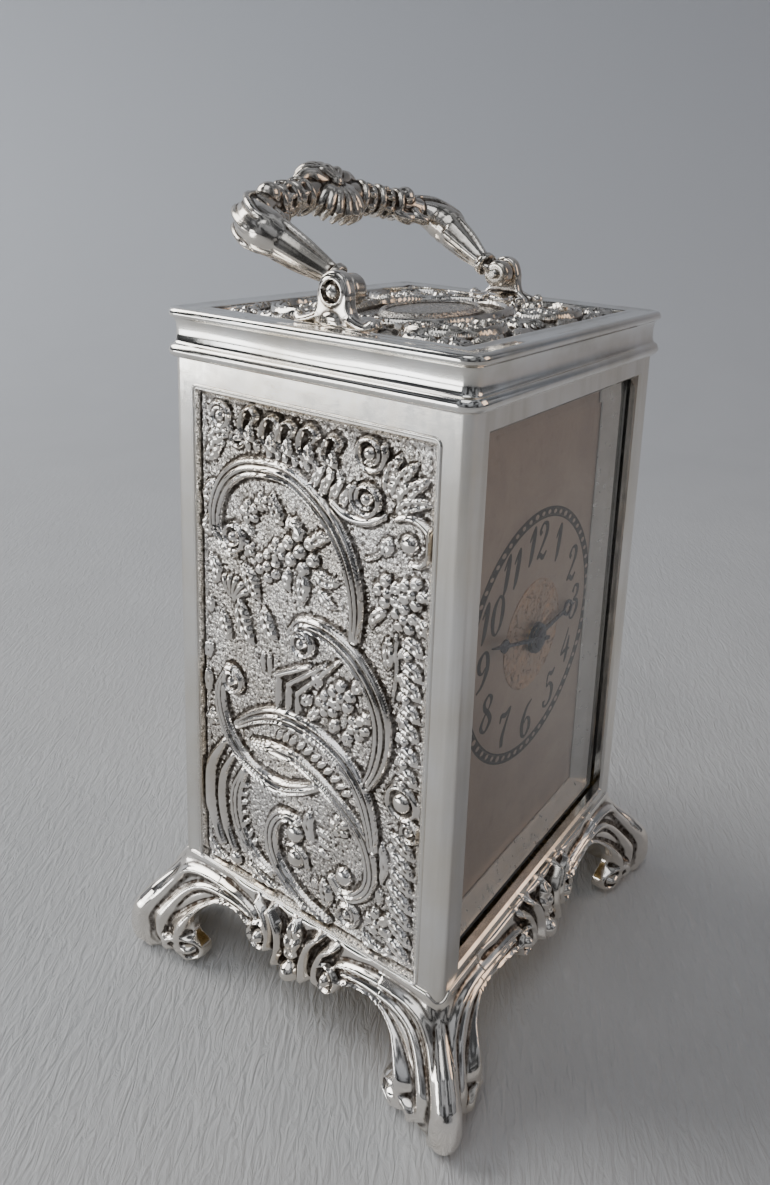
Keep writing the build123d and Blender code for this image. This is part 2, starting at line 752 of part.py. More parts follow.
def hand(outline_points, angle, boss, bore, span):
    """Flat hand along Y span; outline points run from the boss to the tip on one side."""
    mirrored = [(x, -side) for x, side in reversed(outline_points)]
    turned = []
    for x, side in outline_points + mirrored:
        turned.append((x * cos(angle) - side * sin(angle), hub_z + x * sin(angle) + side * cos(angle)))
    with BuildPart() as piece:
        with BuildSketch(across(span[1])) as outline:
            with BuildLine():
                Polyline(*turned, close=True)
            make_face()
        extrude(outline.sketch, amount=span[1] - span[0])
        disc(*centre, boss, span)
        disc(*centre, bore, (span[0] - 1, span[1] + 1), Mode.SUBTRACT)
    return piece.part


minute_angle = radians(163.0)
hour_angle = radians(4.0)
minute_outline = [(0.5, 0.42), (9.0, 0.28), (10.2, 0.95), (11.0, 0.95), (12.2, 0.3), (14.6, 0.1)]
hour_outline = [(0.5, 0.5), (6.6, 0.34), (8.2, 1.4), (9.6, 1.4), (10.8, 0.35), (12.4, 0.12)]
save(hand(minute_outline, minute_angle, 2.1, pipe_radius, minute_hand_y), "minute_hand")
save(hand(hour_outline, hour_angle, 2.4, hour_pipe_outer, hour_hand_y), "hour_hand")

# ================= platform escapement =================
platform_span_y = (front_plate[0], 10.6)
with BuildPart() as platform:
    slab((-11.0, 11.0), platform_span_y, (platform_bottom, platform_top))
    with Locations((0, escape_y, platform_bottom)):
        Cylinder(1.6, 4, mode=Mode.SUBTRACT)
    slab((-1.2, 1.2), (escape_y + 2.2, escape_y + 3.0), (plate_top - 4.2, platform_bottom + 0.1))
    slab((-1.2, 1.2), (escape_y - 0.2, escape_y + 3.0), (plate_top - 4.2, plate_top - 3.6))
    with Locations((0, escape_y, plate_top - 4)):
        Cylinder(0.2 + running, 2, mode=Mode.SUBTRACT)
    for spot_y in (lever_y, balance_y):
        with Locations((0, spot_y, platform_bottom)):
            Cylinder(0.2 + running, 4, mode=Mode.SUBTRACT)
save(platform.part, "platform")

screw_radius = 1.0
screw_height = 0.7
with BuildPart() as movement_screws:
    for x, z in pillar_spots:
        disc(x, z, screw_radius, (back_plate[1], back_plate[1] + screw_height))
    for x in (-9.2, 9.2):
        for plate in (front_plate, back_plate):
            with Locations((x, sum(plate) / 2, platform_top)):
                Cylinder(screw_radius, screw_height, align=(Align.CENTER, Align.CENTER, Align.MIN))
save(movement_screws.part, "movement_screws")

escape_teeth = 15
escape_points = []
for index in range(escape_teeth):
    for share, radius in ((0.0, 2.9), (0.1, 3.05), (0.3, 2.2), (0.85, 2.2)):
        angle = 2 * pi * (index + share) / escape_teeth
        escape_points.append((radius * cos(angle), escape_y + radius * sin(angle)))
pinion_phase = -pi / 2 + pi / escape_leaves
with BuildPart() as escape_wheel:
    with BuildSketch(Plane.XY.offset(escape_wheel_z)) as outline:
        with BuildLine():
            Polyline(*escape_points, close=True)
        make_face()
        with Locations((0, escape_y)):
            Circle(1.9, mode=Mode.SUBTRACT)
            Circle(0.7)
            Rectangle(4.4, 0.5)
            Rectangle(0.5, 4.4)
    extrude(outline.sketch, amount=0.3)
    with BuildSketch(Plane.XY.offset(contrate_z + contrate_radius - 0.5)) as leaves:
        with BuildLine():
            Polyline(*tooth_points(escape_leaves, contrate_module, (0, escape_y), pinion_phase), close=True)
        make_face()
    extrude(leaves.sketch, amount=1.2)
    with BuildSketch(Plane.XY.offset(plate_top - 3.4)) as staff:
        with Locations((0, escape_y)):
            Circle(0.4)
    extrude(staff.sketch, amount=train_cock_z - 0.2 - plate_top + 3.4)
    with BuildSketch(Plane.XY.offset(plate_top - 4.0)) as pivots:
        with Locations((0, escape_y)):
            Circle(0.2)
    extrude(pivots.sketch, amount=train_cock_z + 0.4 - plate_top + 4.0)
save(escape_wheel.part, "escape_wheel")

with BuildPart() as train_cock:
    slab((-6.4, 6.4), (escape_y - 1.2, lever_y + 1.0), (train_cock_z, train_cock_z + 0.7))
    for x_span in ((-6.4, -4.4), (4.4, 6.4)):
        slab(x_span, (escape_y - 1.2, lever_y + 1.0), (platform_top, train_cock_z))
    for spot_y in (escape_y, lever_y):
        with Locations((0, spot_y, train_cock_z)):
            Cylinder(0.2 + running, 4, mode=Mode.SUBTRACT)
save(train_cock.part, "train_cock")

lever_span = (escape_wheel_z, escape_wheel_z + 0.35)
with BuildPart() as pallet_lever:
    with BuildSketch(Plane.XY.offset(lever_span[0])) as outline:
        with Locations((0, lever_y)):
            Circle(0.6)
        with BuildLine():
            Polyline(
                (-2.9, lever_y - 1.5),
                (-2.3, lever_y - 1.7),
                (-1.4, lever_y - 0.3),
                (1.4, lever_y - 0.3),
                (2.3, lever_y - 1.7),
                (2.9, lever_y - 1.5),
                (1.7, lever_y + 0.5),
                (0.35, lever_y + 0.5),
                (0.3, lever_y + 3.0),
                (-0.3, lever_y + 3.0),
                (-0.35, lever_y + 0.5),
                (-1.7, lever_y + 0.5),
                close=True,
            )
        make_face()
    extrude(outline.sketch, amount=lever_span[1] - lever_span[0])
    with BuildSketch(Plane.XY.offset(platform_bottom + 0.2)) as staff:
        with Locations((0, lever_y)):
            Circle(0.2)
    extrude(staff.sketch, amount=train_cock_z + 0.5 - platform_bottom - 0.2)
save(pallet_lever.part, "pallet_lever")

with BuildPart() as balance:
    with BuildSketch(Plane.XY.offset(balance_z)) as rim:
        with Locations((0, balance_y)):
            Circle(5.2)
            Circle(4.5, mode=Mode.SUBTRACT)
            Rectangle(9.4, 0.8)
            Circle(0.9)
    extrude(rim.sketch, amount=0.7)
    with BuildSketch(Plane.XY.offset(platform_bottom + 0.2)) as staff:
        with Locations((0, balance_y)):
            Circle(0.2)
    extrude(staff.sketch, amount=balance_cock_z + 0.5 - platform_bottom - 0.2)
    with BuildSketch(Plane.XY.offset(platform_top + 0.2)) as thick_staff:
        with Locations((0, balance_y)):
            Circle(0.45)
    extrude(thick_staff.sketch, amount=balance_cock_z - 0.4 - platform_top)
    with BuildSketch(Plane.XY.offset(escape_wheel_z)) as roller:
        with Locations((0, balance_y)):
            Circle(1.2)
    extrude(roller.sketch, amount=0.4)
save(balance.part, "balance")

hair_turns = 8
hair_steps = 20
hair_outer_side = []
hair_inner_side = []
for index in range(hair_turns * hair_steps + 1):
    turn = index / hair_steps
    radius = 0.62 + 2.4 * turn / hair_turns
    angle = 2 * pi * turn
    hair_outer_side.append((radius * cos(angle), balance_y + radius * sin(angle)))
    hair_inner_side.append(((radius - 0.08) * cos(angle), balance_y + (radius - 0.08) * sin(angle)))
with BuildPart() as hairspring:
    with BuildSketch(Plane.XY.offset(balance_z + 1.1)) as coil:
        with BuildLine():
            Polyline(*(hair_outer_side + list(reversed(hair_inner_side))), close=True)
        make_face()
        with Locations((0, balance_y)):
            Circle(0.75)
            Circle(0.45, mode=Mode.SUBTRACT)
    extrude(coil.sketch, amount=0.4)
save(hairspring.part, "hairspring")

cock_foot_y = 8.8
with BuildPart() as balance_cock:
    slab((-2.2, 2.2), (cock_foot_y - 1.6, cock_foot_y + 1.6), (platform_top, balance_cock_z + 0.8))
    slab((-1.5, 1.5), (balance_y, cock_foot_y), (balance_cock_z, balance_cock_z + 0.8))
    with Locations((0, balance_y, balance_cock_z)):
        Cylinder(1.9, 0.8, align=(Align.CENTER, Align.CENTER, Align.MIN))
        Cylinder(1.0, 1.4, align=(Align.CENTER, Align.CENTER, Align.MIN))
        Cylinder(0.2 + running, 1.4, mode=Mode.SUBTRACT)
save(balance_cock.part, "balance_cock")

regulator_z = balance_cock_z + 0.9
with BuildPart() as regulator:
    with BuildSketch(Plane.XY.offset(regulator_z)) as index_lever:
        with Locations((0, balance_y)):
            Circle(1.7)
        with Locations((0, balance_y - 3.0)):
            Rectangle(0.6, 6.0)
        with Locations((0, balance_y)):
            Circle(1.0 + running, mode=Mode.SUBTRACT)
    extrude(index_lever.sketch, amount=0.35)
save(regulator.part, "regulator")

# ================= rear door =================
hinge_x = -door_half_x - 0.3
hinge_y = half_depth + 0.9
door_gap = 0.25
door_edge_x = door_half_x - door_gap
key_hole_radius = 2.6
with BuildPart() as door_frame:
    slab(
        (-door_edge_x, door_edge_x),
        (half_depth - 1.4, half_depth),
        (door_bottom + door_gap, door_top - door_gap),
    )
    slab(
        (-door_edge_x + 3.5, door_edge_x - 3.5),
        (half_depth - 3, half_depth + 1),
        (door_bottom + 3.75, door_top - 3.75),
        mode=Mode.SUBTRACT,
    )
    for z in (30.0, 80.0):
        with Locations((hinge_x, hinge_y, z)):
            Cylinder(0.85, 3.8)
        slab((-door_edge_x, hinge_x + 2.4), (half_depth, hinge_y - 0.1), (z - 1.9, z + 1.9))
        with Locations((hinge_x, hinge_y, z)):
            Cylinder(0.4 + running, 5, mode=Mode.SUBTRACT)
save(door_frame.part, "door_frame")

with BuildPart() as door_panel:
    slab(
        (-door_edge_x + 3.5, door_edge_x - 3.5),
        (half_depth - 1.3, half_depth - 0.4),
        (door_bottom + 3.75, door_top - 3.75),
    )
    for x, z in ((barrel_x, barrel_z), (0, hub_z)):
        disc(x, z, key_hole_radius, (half_depth - 3, half_depth + 1), Mode.SUBTRACT)
save(door_panel.part, "door_panel")

with BuildPart() as key_bushings:
    for x, z in ((barrel_x, barrel_z), (0, hub_z)):
        disc(x, z, key_hole_radius, (half_depth - 1.5, half_depth))
    for x, z in ((barrel_x, barrel_z), (0, hub_z)):
        disc(x, z, key_hole_radius - 0.6, (half_depth - 3, half_depth + 1), Mode.SUBTRACT)
save(key_bushings.part, "key_bushings")

knob_x = door_edge_x - 1.75
with BuildPart() as door_knob:
    disc(knob_x, hub_z, 0.7, (half_depth, half_depth + 1.4))
    disc(knob_x, hub_z, 1.5, (half_depth + 1.2, half_depth + 2.6))
save(door_knob.part, "door_knob")

with BuildPart() as case_hinges:
    for z in (30.0, 80.0):
        for middle in (z - 3.0, z + 3.0):
            with Locations((hinge_x, hinge_y, middle)):
                Cylinder(0.85, 2.0)
            slab((hinge_x - 2.4, hinge_x), (half_depth, hinge_y - 0.35), (middle - 1.0, middle + 1.0))
        with Locations((hinge_x, hinge_y, z)):
            Cylinder(0.4, 8.0)
save(case_hinges.part, "case_hinges")
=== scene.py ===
import math

import bmesh
import bpy
import numpy as np
from mathutils import Matrix, Vector


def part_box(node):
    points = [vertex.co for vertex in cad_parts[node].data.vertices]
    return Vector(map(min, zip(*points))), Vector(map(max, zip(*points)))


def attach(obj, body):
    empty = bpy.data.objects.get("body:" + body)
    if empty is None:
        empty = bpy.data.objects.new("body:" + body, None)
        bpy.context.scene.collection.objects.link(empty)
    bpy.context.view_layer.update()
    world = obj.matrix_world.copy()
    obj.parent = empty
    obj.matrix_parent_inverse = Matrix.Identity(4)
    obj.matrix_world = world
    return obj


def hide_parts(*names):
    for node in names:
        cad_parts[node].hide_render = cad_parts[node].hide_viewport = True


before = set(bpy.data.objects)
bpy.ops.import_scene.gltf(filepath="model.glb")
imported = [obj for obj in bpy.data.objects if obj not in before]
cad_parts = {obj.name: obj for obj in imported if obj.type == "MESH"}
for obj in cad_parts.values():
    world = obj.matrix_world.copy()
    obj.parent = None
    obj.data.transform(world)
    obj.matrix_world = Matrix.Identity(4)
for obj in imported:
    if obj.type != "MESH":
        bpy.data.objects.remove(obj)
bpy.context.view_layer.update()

MM = 0.001
TURN = 2 * math.pi
FAR = 1e9
rng = np.random.default_rng(7)


def lo_hi(node):
    """Lowest and highest corner of a CAD node, in millimetres."""
    low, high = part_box(node)
    return np.array(low) / MM, np.array(high) / MM


def bell(x):
    """1 at the middle, falling away smoothly on both sides."""
    return np.exp(-(x**2))


def dome(x):
    """A round crown over -1 to 1, and 0 outside."""
    return np.sqrt(np.clip(1 - x**2, 0, 1))


# ------------------------------------------------------------------ lines
def smooth(points, step=0.4, closed=False):
    """A smooth line through the points, sampled about every step."""
    p = np.array(points, float)
    n = len(p)
    if n == 2:
        return np.linspace(p[0], p[1], max(2, int(np.linalg.norm(p[1] - p[0]) / step) + 1))
    at = (lambda i: i % n) if closed else (lambda i: min(max(i, 0), n - 1))
    out = []
    for i in range(n if closed else n - 1):
        a, b, c, d = p[at(i - 1)], p[at(i)], p[at(i + 1)], p[at(i + 2)]
        if not closed and i == 0:
            a = 2 * b - c
        if not closed and i == n - 2:
            d = 2 * c - b
        k = max(2, int(np.linalg.norm((c - b)[:2]) / step) + 1)
        t = np.linspace(0, 1, k, endpoint=False)[:, None]
        curve = 2 * b + (c - a) * t + (2 * a - 5 * b + 4 * c - d) * t**2 + (3 * b - a - 3 * c + d) * t**3
        out.append(0.5 * curve)
    out = np.vstack(out)
    return out if closed else np.vstack([out, p[-1:]])


def spiral(c, r0, r1, a0, turns):
    """Points of a spiral round c from radius r0 to r1, starting at angle a0 (degrees)."""
    t = np.linspace(0, 1, max(4, int(abs(turns) * 22)))
    angle = math.radians(a0) + t * turns * TURN
    r = r0 + (r1 - r0) * t
    return [(c[0] + q * math.cos(b), c[1] + q * math.sin(b)) for q, b in zip(r, angle)]


def blur(h, n=1):
    for _ in range(n):
        p = np.pad(h, 1, mode="edge")
        h = (p[:-2, 1:-1] + p[2:, 1:-1] + p[1:-1, :-2] + p[1:-1, 2:] + 2 * p[1:-1, 1:-1]) / 6
    return h


def ease(t):
    """0 to 1 with level ends."""
    t = np.clip(t, 0, 1)
    return t * t * (3 - 2 * t)


def polar(radius, degrees):
    a = math.radians(degrees)
    return radius * math.cos(a), radius * math.sin(a)


# ------------------------------------------------------------------ relief
LEAF_SPREAD = 1.28
FLOWER_SPREAD = 1.2


class Relief:
    """A chased sheet: heights in millimetres over a flat grid."""

    def __init__(self, u0, u1, v0, v1, pitch):
        self.u = np.linspace(u0, u1, int(round((u1 - u0) / pitch)) + 1)
        self.v = np.linspace(v0, v1, int(round((v1 - v0) / pitch)) + 1)
        self.U, self.V = np.meshgrid(self.u, self.v, indexing="ij")
        self.H = np.zeros_like(self.U)
        self.pitch = pitch

    def window(self, lo, hi):
        i0, i1 = np.searchsorted(self.u, (lo[0], hi[0]))
        j0, j1 = np.searchsorted(self.v, (lo[1], hi[1]))
        return slice(i0, i1), slice(j0, j1)

    def along(self, points, reach):
        """Distance from a line, signed offset from it, and how far along (0 to 1)."""
        p = np.array(points)[:, :2]
        lengths = np.linalg.norm(np.diff(p, axis=0), axis=1)
        start = np.concatenate([[0], np.cumsum(lengths)])
        D = np.full(self.U.shape, FAR)
        T = np.zeros(self.U.shape)
        S = np.zeros(self.U.shape)
        for a, b, length, run in zip(p[:-1], p[1:], lengths, start):
            w = self.window(np.minimum(a, b) - reach, np.maximum(a, b) + reach)
            x, y = self.U[w] - a[0], self.V[w] - a[1]
            d = b - a
            length = max(length, 1e-9)
            t = np.clip((x * d[0] + y * d[1]) / length**2, 0, 1)
            ex, ey = x - t * d[0], y - t * d[1]
            dist = np.hypot(ex, ey)
            near = dist < D[w]
            side = np.sign(d[0] * ey - d[1] * ex)
            D[w] = np.where(near, dist, D[w])
            T[w] = np.where(near, dist * side, T[w])
            S[w] = np.where(near, (run + t * length) / start[-1], S[w])
        return D, T, S

    def raise_to(self, h, where):
        self.H = np.where(where & (h > self.H), h, self.H)

    def moat(self, D, edge, depth=0.16, wide=0.32):
        """A narrow sunk line just outside an edge."""
        self.H = self.H - depth * bell((D - edge) / wide) * (D > edge - 0.4)

    def band(self, points, width, h=0.9, ridges=3, ends=(0.6, 0.6), flat=0.58, step=0.35, moat=0.14):
        """A raised scroll with ridges along it, thinner towards its ends."""
        D, T, S = self.along(smooth(points, step), width / 2 + 1.2)
        w = width / 2
        for end, s in zip(ends, (S, 1 - S)):
            w = w * np.minimum(1, end + (1 - end) * np.sin(np.clip(s * 3, 0, 1) * math.pi / 2))
        if moat:
            self.moat(D, w, moat)
        crown = np.sqrt(np.clip(1 - np.clip(D / w, 0, 1) ** 4, 0, 1))
        wave = 0.5 + 0.5 * np.cos(math.pi * (T / w) * ridges) * (1 if ridges % 2 else -1)
        self.raise_to(h * crown * (flat + (1 - flat) * wave), D < w)

    def ball(self, c, r, h=0.9, ring=None):
        d = np.hypot(self.U - c[0], self.V - c[1])
        if ring:
            q = (d - ring) / 0.42
            self.moat(d, ring + 0.45, 0.12)
            self.raise_to(0.75 * h * bell(q), np.abs(q) < 1.6)
        self.moat(d, r, 0.2, 0.28)
        self.raise_to(h * dome(d / r), d < r)

    def volute(self, c, r, h=0.9, a0=0, turns=1.4, width=0.9):
        """A curled end: a small spiral round a ball."""
        self.band(spiral(c, r, 0.5 * r, a0, turns), width, h, ridges=1, ends=(1, 0.7), step=0.3)
        self.ball(c, 0.42 * r, h * 1.05)

    def leaf(self, points, width, h=0.8, veins=7):
        """A pointed leaf along a line, with a midrib groove and slanting veins."""
        half = LEAF_SPREAD * width / 2
        D, T, S = self.along(smooth(points, 0.35), half + 1.0)
        w = np.maximum(half * np.sin(np.clip(S, 0.02, 0.985) ** 0.75 * math.pi) ** 0.62, 0.05)
        q = np.clip(np.abs(T) / w, 0, 1)
        self.moat(np.where(D < FAR / 10, np.abs(T) - w + 1, 9), 1.0, 0.09)
        rib = 1 - 0.42 * bell(T / 0.26)
        vein = 0.87 + 0.13 * np.cos((S * veins - q * 0.55) * TURN)
        self.raise_to(h * np.sqrt(1 - q**2.2) * rib * vein, (np.abs(T) < w) & (D < half * 1.05))

    def leaves(self, *rows):
        """Leaves in order, each given as width, height, veins and then its points."""
        for width, h, veins, *points in rows:
            self.leaf(points, width, h, veins)

    def flower(self, c, r, n=5, h=0.9, turn=0.0):
        """Round petals with dished middles about a bead."""
        r *= FLOWER_SPREAD
        petal = r * min(0.46, 1.9 / n)
        d = np.hypot(self.U - c[0], self.V - c[1])
        self.moat(d, r, 0.10)
        for k in range(n):
            a = turn + TURN * k / n
            p = (c[0] + (r - petal) * math.cos(a), c[1] + (r - petal) * math.sin(a))
            q = np.hypot(self.U - p[0], self.V - p[1]) / petal
            self.raise_to(h * (dome(q) - 0.42 * bell(q / 0.42)), q < 1)
        core = d / (0.34 * r)
        self.raise_to(h * 1.08 * dome(core), core < 1)

    def fan(self, c, r, a0, a1, n, h=0.8):
        """A shell: flutes spreading from c between two angles in degrees."""
        x, y = self.U - c[0], self.V - c[1]
        d = np.hypot(x, y)
        middle = math.radians((a0 + a1) / 2)
        a = np.angle(np.exp(1j * (np.arctan2(y, x) - middle)))
        f = a / math.radians(a1 - a0) + 0.5
        lobe = np.abs(np.sin(f * n * math.pi))
        edge = r * (0.84 + 0.16 * lobe**0.5)
        inside = (d < edge) & (d > 0.15 * r) & (f > 0) & (f < 1)
        self.moat(np.where((f > -0.02) & (f < 1.02), d, 99), edge, 0.14)
        q = np.clip(d / edge, 0, 1)
        self.raise_to(h * np.sqrt(1 - q**5) * (0.35 + 0.65 * q) * (0.3 + 0.7 * lobe**0.7), inside)

    def ticks(self, points, out, length, gap, w=0.5, h=0.5, side=1):
        """A comb of small commas along a line, out millimetres to one side of it."""
        line = smooth(points, 0.2)
        d = np.gradient(line, axis=0)
        d /= np.linalg.norm(d, axis=1)[:, None]
        n = np.stack([-d[:, 1], d[:, 0]], 1) * side
        run = np.concatenate([[0], np.cumsum(np.linalg.norm(np.diff(line, axis=0), axis=1))])
        for s in np.arange(gap / 2, run[-1], gap):
            k = int(np.searchsorted(run, s))
            a = line[k] + n[k] * out
            b = a + n[k] * length + d[k] * length * 0.55
            self.leaf([a, (a + b) / 2 + d[k] * 0.1, b], w, h, veins=1)

    def matt(self, amount):
        """Fine punched texture on the ground only."""
        noise = np.clip(rng.standard_normal(self.H.shape), -2.2, 2.2)
        self.ground = np.clip(1 - self.H / 0.12, 0, 1)
        self.H = self.H + amount * noise * self.ground

    def to_edge(self):
        """Distance of each point from the nearest edge of the sheet."""
        u, v = self.u, self.v
        return np.minimum.reduce([self.U - u[0], u[-1] - self.U, self.V - v[0], v[-1] - self.V])


def recess(h):
    """0 on open ground, up to 1 in narrow low places, and negative on crests."""
    near = blur(h, 4) - h
    wide = blur(h, 22) - h
    return np.clip(4.6 * near + 1.3 * wide, -1, 1)


# ------------------------------------------------------------------ meshes
def store(me, name, values):
    """One number per point, for the materials to read."""
    layer = me.attributes.new(name, "FLOAT", "POINT")
    layer.data.foreach_set("value", np.asarray(values, np.float32))


def read(collection, name, width, kind=float):
    """A vector per element of a mesh, as rows."""
    flat = np.zeros(len(collection) * width, kind)
    collection.foreach_get(name, flat)
    return flat.reshape(-1, width)


def shade(ob, angle=40):
    me = ob.data
    me.polygons.foreach_set("use_smooth", np.ones(len(me.polygons), bool))
    me.set_sharp_from_angle(angle=math.radians(angle))


def new_mesh(name, verts, faces, smooth_angle=40):
    """A mesh object from points in millimetres."""
    me = bpy.data.meshes.new(name)
    verts = np.asarray(verts, float) * MM
    me.vertices.add(len(verts))
    me.vertices.foreach_set("co", verts.astype(np.float32).ravel())
    sizes = np.array([len(f) for f in faces], np.int32)
    corners = np.fromiter((i for f in faces for i in f), np.int32)
    me.loops.add(len(corners))
    me.loops.foreach_set("vertex_index", corners)
    me.polygons.add(len(sizes))
    starts = np.concatenate([[0], np.cumsum(sizes)[:-1]])
    me.polygons.foreach_set("loop_start", starts.astype(np.int32))
    me.update(calc_edges=True)
    me.validate()
    ob = bpy.data.objects.new(name, me)
    bpy.context.scene.collection.objects.link(ob)
    shade(ob, smooth_angle)
    return ob


def tidy_mesh(name, parts, merge, smooth_angle):
    """One mesh object from parts, with doubled points merged and all faces looking outwards."""
    ob = new_mesh(name, *join(parts), smooth_angle)
    bm = bmesh.new()
    bm.from_mesh(ob.data)
    bmesh.ops.remove_doubles(bm, verts=bm.verts, dist=merge * MM)
    bmesh.ops.recalc_face_normals(bm, faces=bm.faces)
    bm.to_mesh(ob.data)
    bm.free()
    return ob


def sheet_faces(nu, nv, flip=False):
    i = np.arange(nu - 1)[:, None] * nv + np.arange(nv - 1)[None, :]
    q = np.stack([i, i + nv, i + nv + 1, i + 1], -1).reshape(-1, 4)
    return q[:, ::-1] if flip else q


def ring_faces(rows, per, closed=False, first=0):
    """Faces between rows of points that each go once round; closed joins the last row to the first."""
    faces = []
    for i in range(rows if closed else rows - 1):
        here, after = first + i * per, first + (i + 1) % rows * per
        for j in range(per):
            k = (j + 1) % per
            faces.append((here + j, here + k, after + k, after + j))
    return faces


def end_faces(rows, per):
    return [tuple(range(per))[::-1], tuple(range((rows - 1) * per, rows * per))]


def slab_from_relief(name, relief, place, back, flip=False):
    """A closed plate: the chased face, a flat back, and the edge between them."""
    nu, nv = relief.U.shape
    n = nu * nv
    top = place(relief.U, relief.V, relief.H).reshape(-1, 3)
    flat = place(relief.U, relief.V, np.full_like(relief.H, back)).reshape(-1, 3)
    right, left = np.arange(1, nu) * nv + nv - 1, np.arange(nu - 2, 0, -1) * nv
    ring = np.concatenate([np.arange(nv), right, (nu - 1) * nv + np.arange(nv - 2, -1, -1), left])
    m = len(ring)
    k = np.arange(m)
    side = np.stack([ring, ring[(k + 1) % m], n + (k + 1) % m, n + k], -1)
    lid = tuple(range(n, n + m))
    if flip:
        side, lid = side[:, ::-1], lid[::-1]
    faces = [tuple(f) for f in np.vstack([sheet_faces(nu, nv, flip), side])] + [lid]
    ob = new_mesh(name, np.vstack([top, flat[ring]]), faces)
    store(ob.data, "recess", np.concatenate([recess(relief.H).ravel(), np.full(m, 0.4)]))
    store(ob.data, "punched", np.concatenate([relief.ground.ravel(), np.zeros(m)]))
    return ob


def tube(line, radius, sides=12, cap=True):
    """A tube along a 3-D line: radius may be a list."""
    p = np.array(line, float)
    n = len(p)
    r = np.broadcast_to(np.array(radius, float), (n,))
    t = np.gradient(p, axis=0)
    t /= np.linalg.norm(t, axis=1)[:, None] + 1e-12
    across = np.array([1.0, 0.0, 0.0] if abs(t[0, 2]) > 0.9 else [0.0, 0.0, 1.0])
    u = np.cross(t[0], across)
    u /= np.linalg.norm(u)
    angle = np.arange(sides)[:, None] * TURN / sides
    verts = []
    for k in range(n):
        u = u - t[k] * (u @ t[k])
        u /= np.linalg.norm(u) + 1e-12
        verts.append(p[k] + r[k] * (np.cos(angle) * u + np.sin(angle) * np.cross(t[k], u)))
    return np.vstack(verts), ring_faces(n, sides) + (end_faces(n, sides) if cap else [])


def ball_mesh(c, r, rings=8, sides=14, scale=(1, 1, 1)):
    down = np.linspace(0, math.pi, rings + 1)[1:-1]
    around = np.arange(sides) * TURN / sides
    verts = [(0, 0, r)]
    for t in down:
        ring = r * math.sin(t)
        verts += [(ring * math.cos(a), ring * math.sin(a), r * math.cos(t)) for a in around]
    verts.append((0, 0, -r))
    last = len(verts) - 1
    bottom = last - sides
    faces = [(0, 1 + j, 1 + (j + 1) % sides) for j in range(sides)]
    faces += [(a, d, c, b) for a, b, c, d in ring_faces(len(down), sides, first=1)]
    faces += [(last, bottom + (j + 1) % sides, bottom + j) for j in range(sides)]
    return np.array(verts) * np.array(scale, float) + np.array(c), faces


def join(parts):
    verts, faces, n = [], [], 0
    for v, f in parts:
        verts.append(np.asarray(v))
        faces += [tuple(int(i) + n for i in g) for g in f]
        n += len(v)
    return np.vstack(verts), faces




# ------------------------------------------------------------------ materials
VIEW_YAW = -56.854
VIEW_TURN = 90 + VIEW_YAW


class Net:
    """Short names for building the nodes of a material or of the world."""

    def __init__(self, owner, output, coordinates):
        owner.use_nodes = True
        self.owner, self.t = owner, owner.node_tree
        self.t.nodes.clear()
        self.out = self.node(output)
        self.coord = self.node("TexCoord").outputs[coordinates]

    def node(self, kind, **settings):
        n = self.t.nodes.new("ShaderNode" + kind)
        for name, value in settings.items():
            setattr(n, name, value)
        return n

    def put(self, socket, value):
        if isinstance(value, bpy.types.NodeSocket):
            self.t.links.new(value, socket)
        elif isinstance(value, (tuple, list)) and len(value) == 3 and socket.type == "RGBA":
            socket.default_value = (*value, 1)
        else:
            socket.default_value = value

    def fill(self, n, **values):
        """Sets or links a node's inputs by name, with _ for a space."""
        for name, value in values.items():
            self.put(n.inputs[name.replace("_", " ")], value)
        return n.outputs[0]

    def scaled(self, sx, sy, sz):
        n = self.node("VectorMath", operation="MULTIPLY")
        self.put(n.inputs[0], self.coord)
        self.put(n.inputs[1], (sx, sy, sz))
        return n.outputs[0]

    def turned(self, degrees, sx, sy, sz):
        """The position turned about z, then divided by the given lengths."""
        n = self.node("Mapping", vector_type="TEXTURE")
        return self.fill(n, Vector=self.coord, Rotation=(0, 0, math.radians(degrees)), Scale=(sx, sy, sz))

    def noise(self, scale, detail=3, rough=0.55, distortion=0.0, vector=None):
        n = self.node("TexNoise")
        self.fill(n, Vector=vector or self.coord, Scale=scale, Detail=detail, Roughness=rough,
                  Distortion=distortion)
        return n.outputs["Fac"]

    def cells(self, scale):
        n = self.node("TexVoronoi")
        self.fill(n, Vector=self.coord, Scale=scale)
        return n.outputs["Distance"]

    def map(self, value, a, b, c=0.0, d=1.0, smooth_step=False):
        """value taken from the range a..b to c..d, held at the ends."""
        n = self.node("MapRange", interpolation_type="SMOOTHSTEP" if smooth_step else "LINEAR")
        return self.fill(n, Value=value, From_Min=a, From_Max=b, To_Min=c, To_Max=d)

    def math(self, operation, a, b=0.0, clamp=False):
        n = self.node("Math", operation=operation, use_clamp=clamp)
        self.put(n.inputs[0], a)
        self.put(n.inputs[1], b)
        return n.outputs[0]

    def times(self, a, b):
        return self.math("MULTIPLY", a, b)

    def plus(self, a, b, clamp=False):
        return self.math("ADD", a, b, clamp)

    def mix(self, factor, a, b):
        n = self.node("Mix", data_type="RGBA")
        for index, value in ((0, factor), (6, a), (7, b)):
            self.put(n.inputs[index], value)
        return n.outputs[2]

    def attribute(self, name):
        return self.node("Attribute", attribute_name=name).outputs["Fac"]

    def bump(self, height, strength, distance, normal=None):
        n = self.node("Bump")
        self.fill(n, Strength=strength, Distance=distance, Height=height)
        if normal is not None:
            self.put(n.inputs["Normal"], normal)
        return n.outputs[0]

    def axis(self, vector, name):
        n = self.node("SeparateXYZ")
        self.put(n.inputs[0], vector)
        return n.outputs[name]


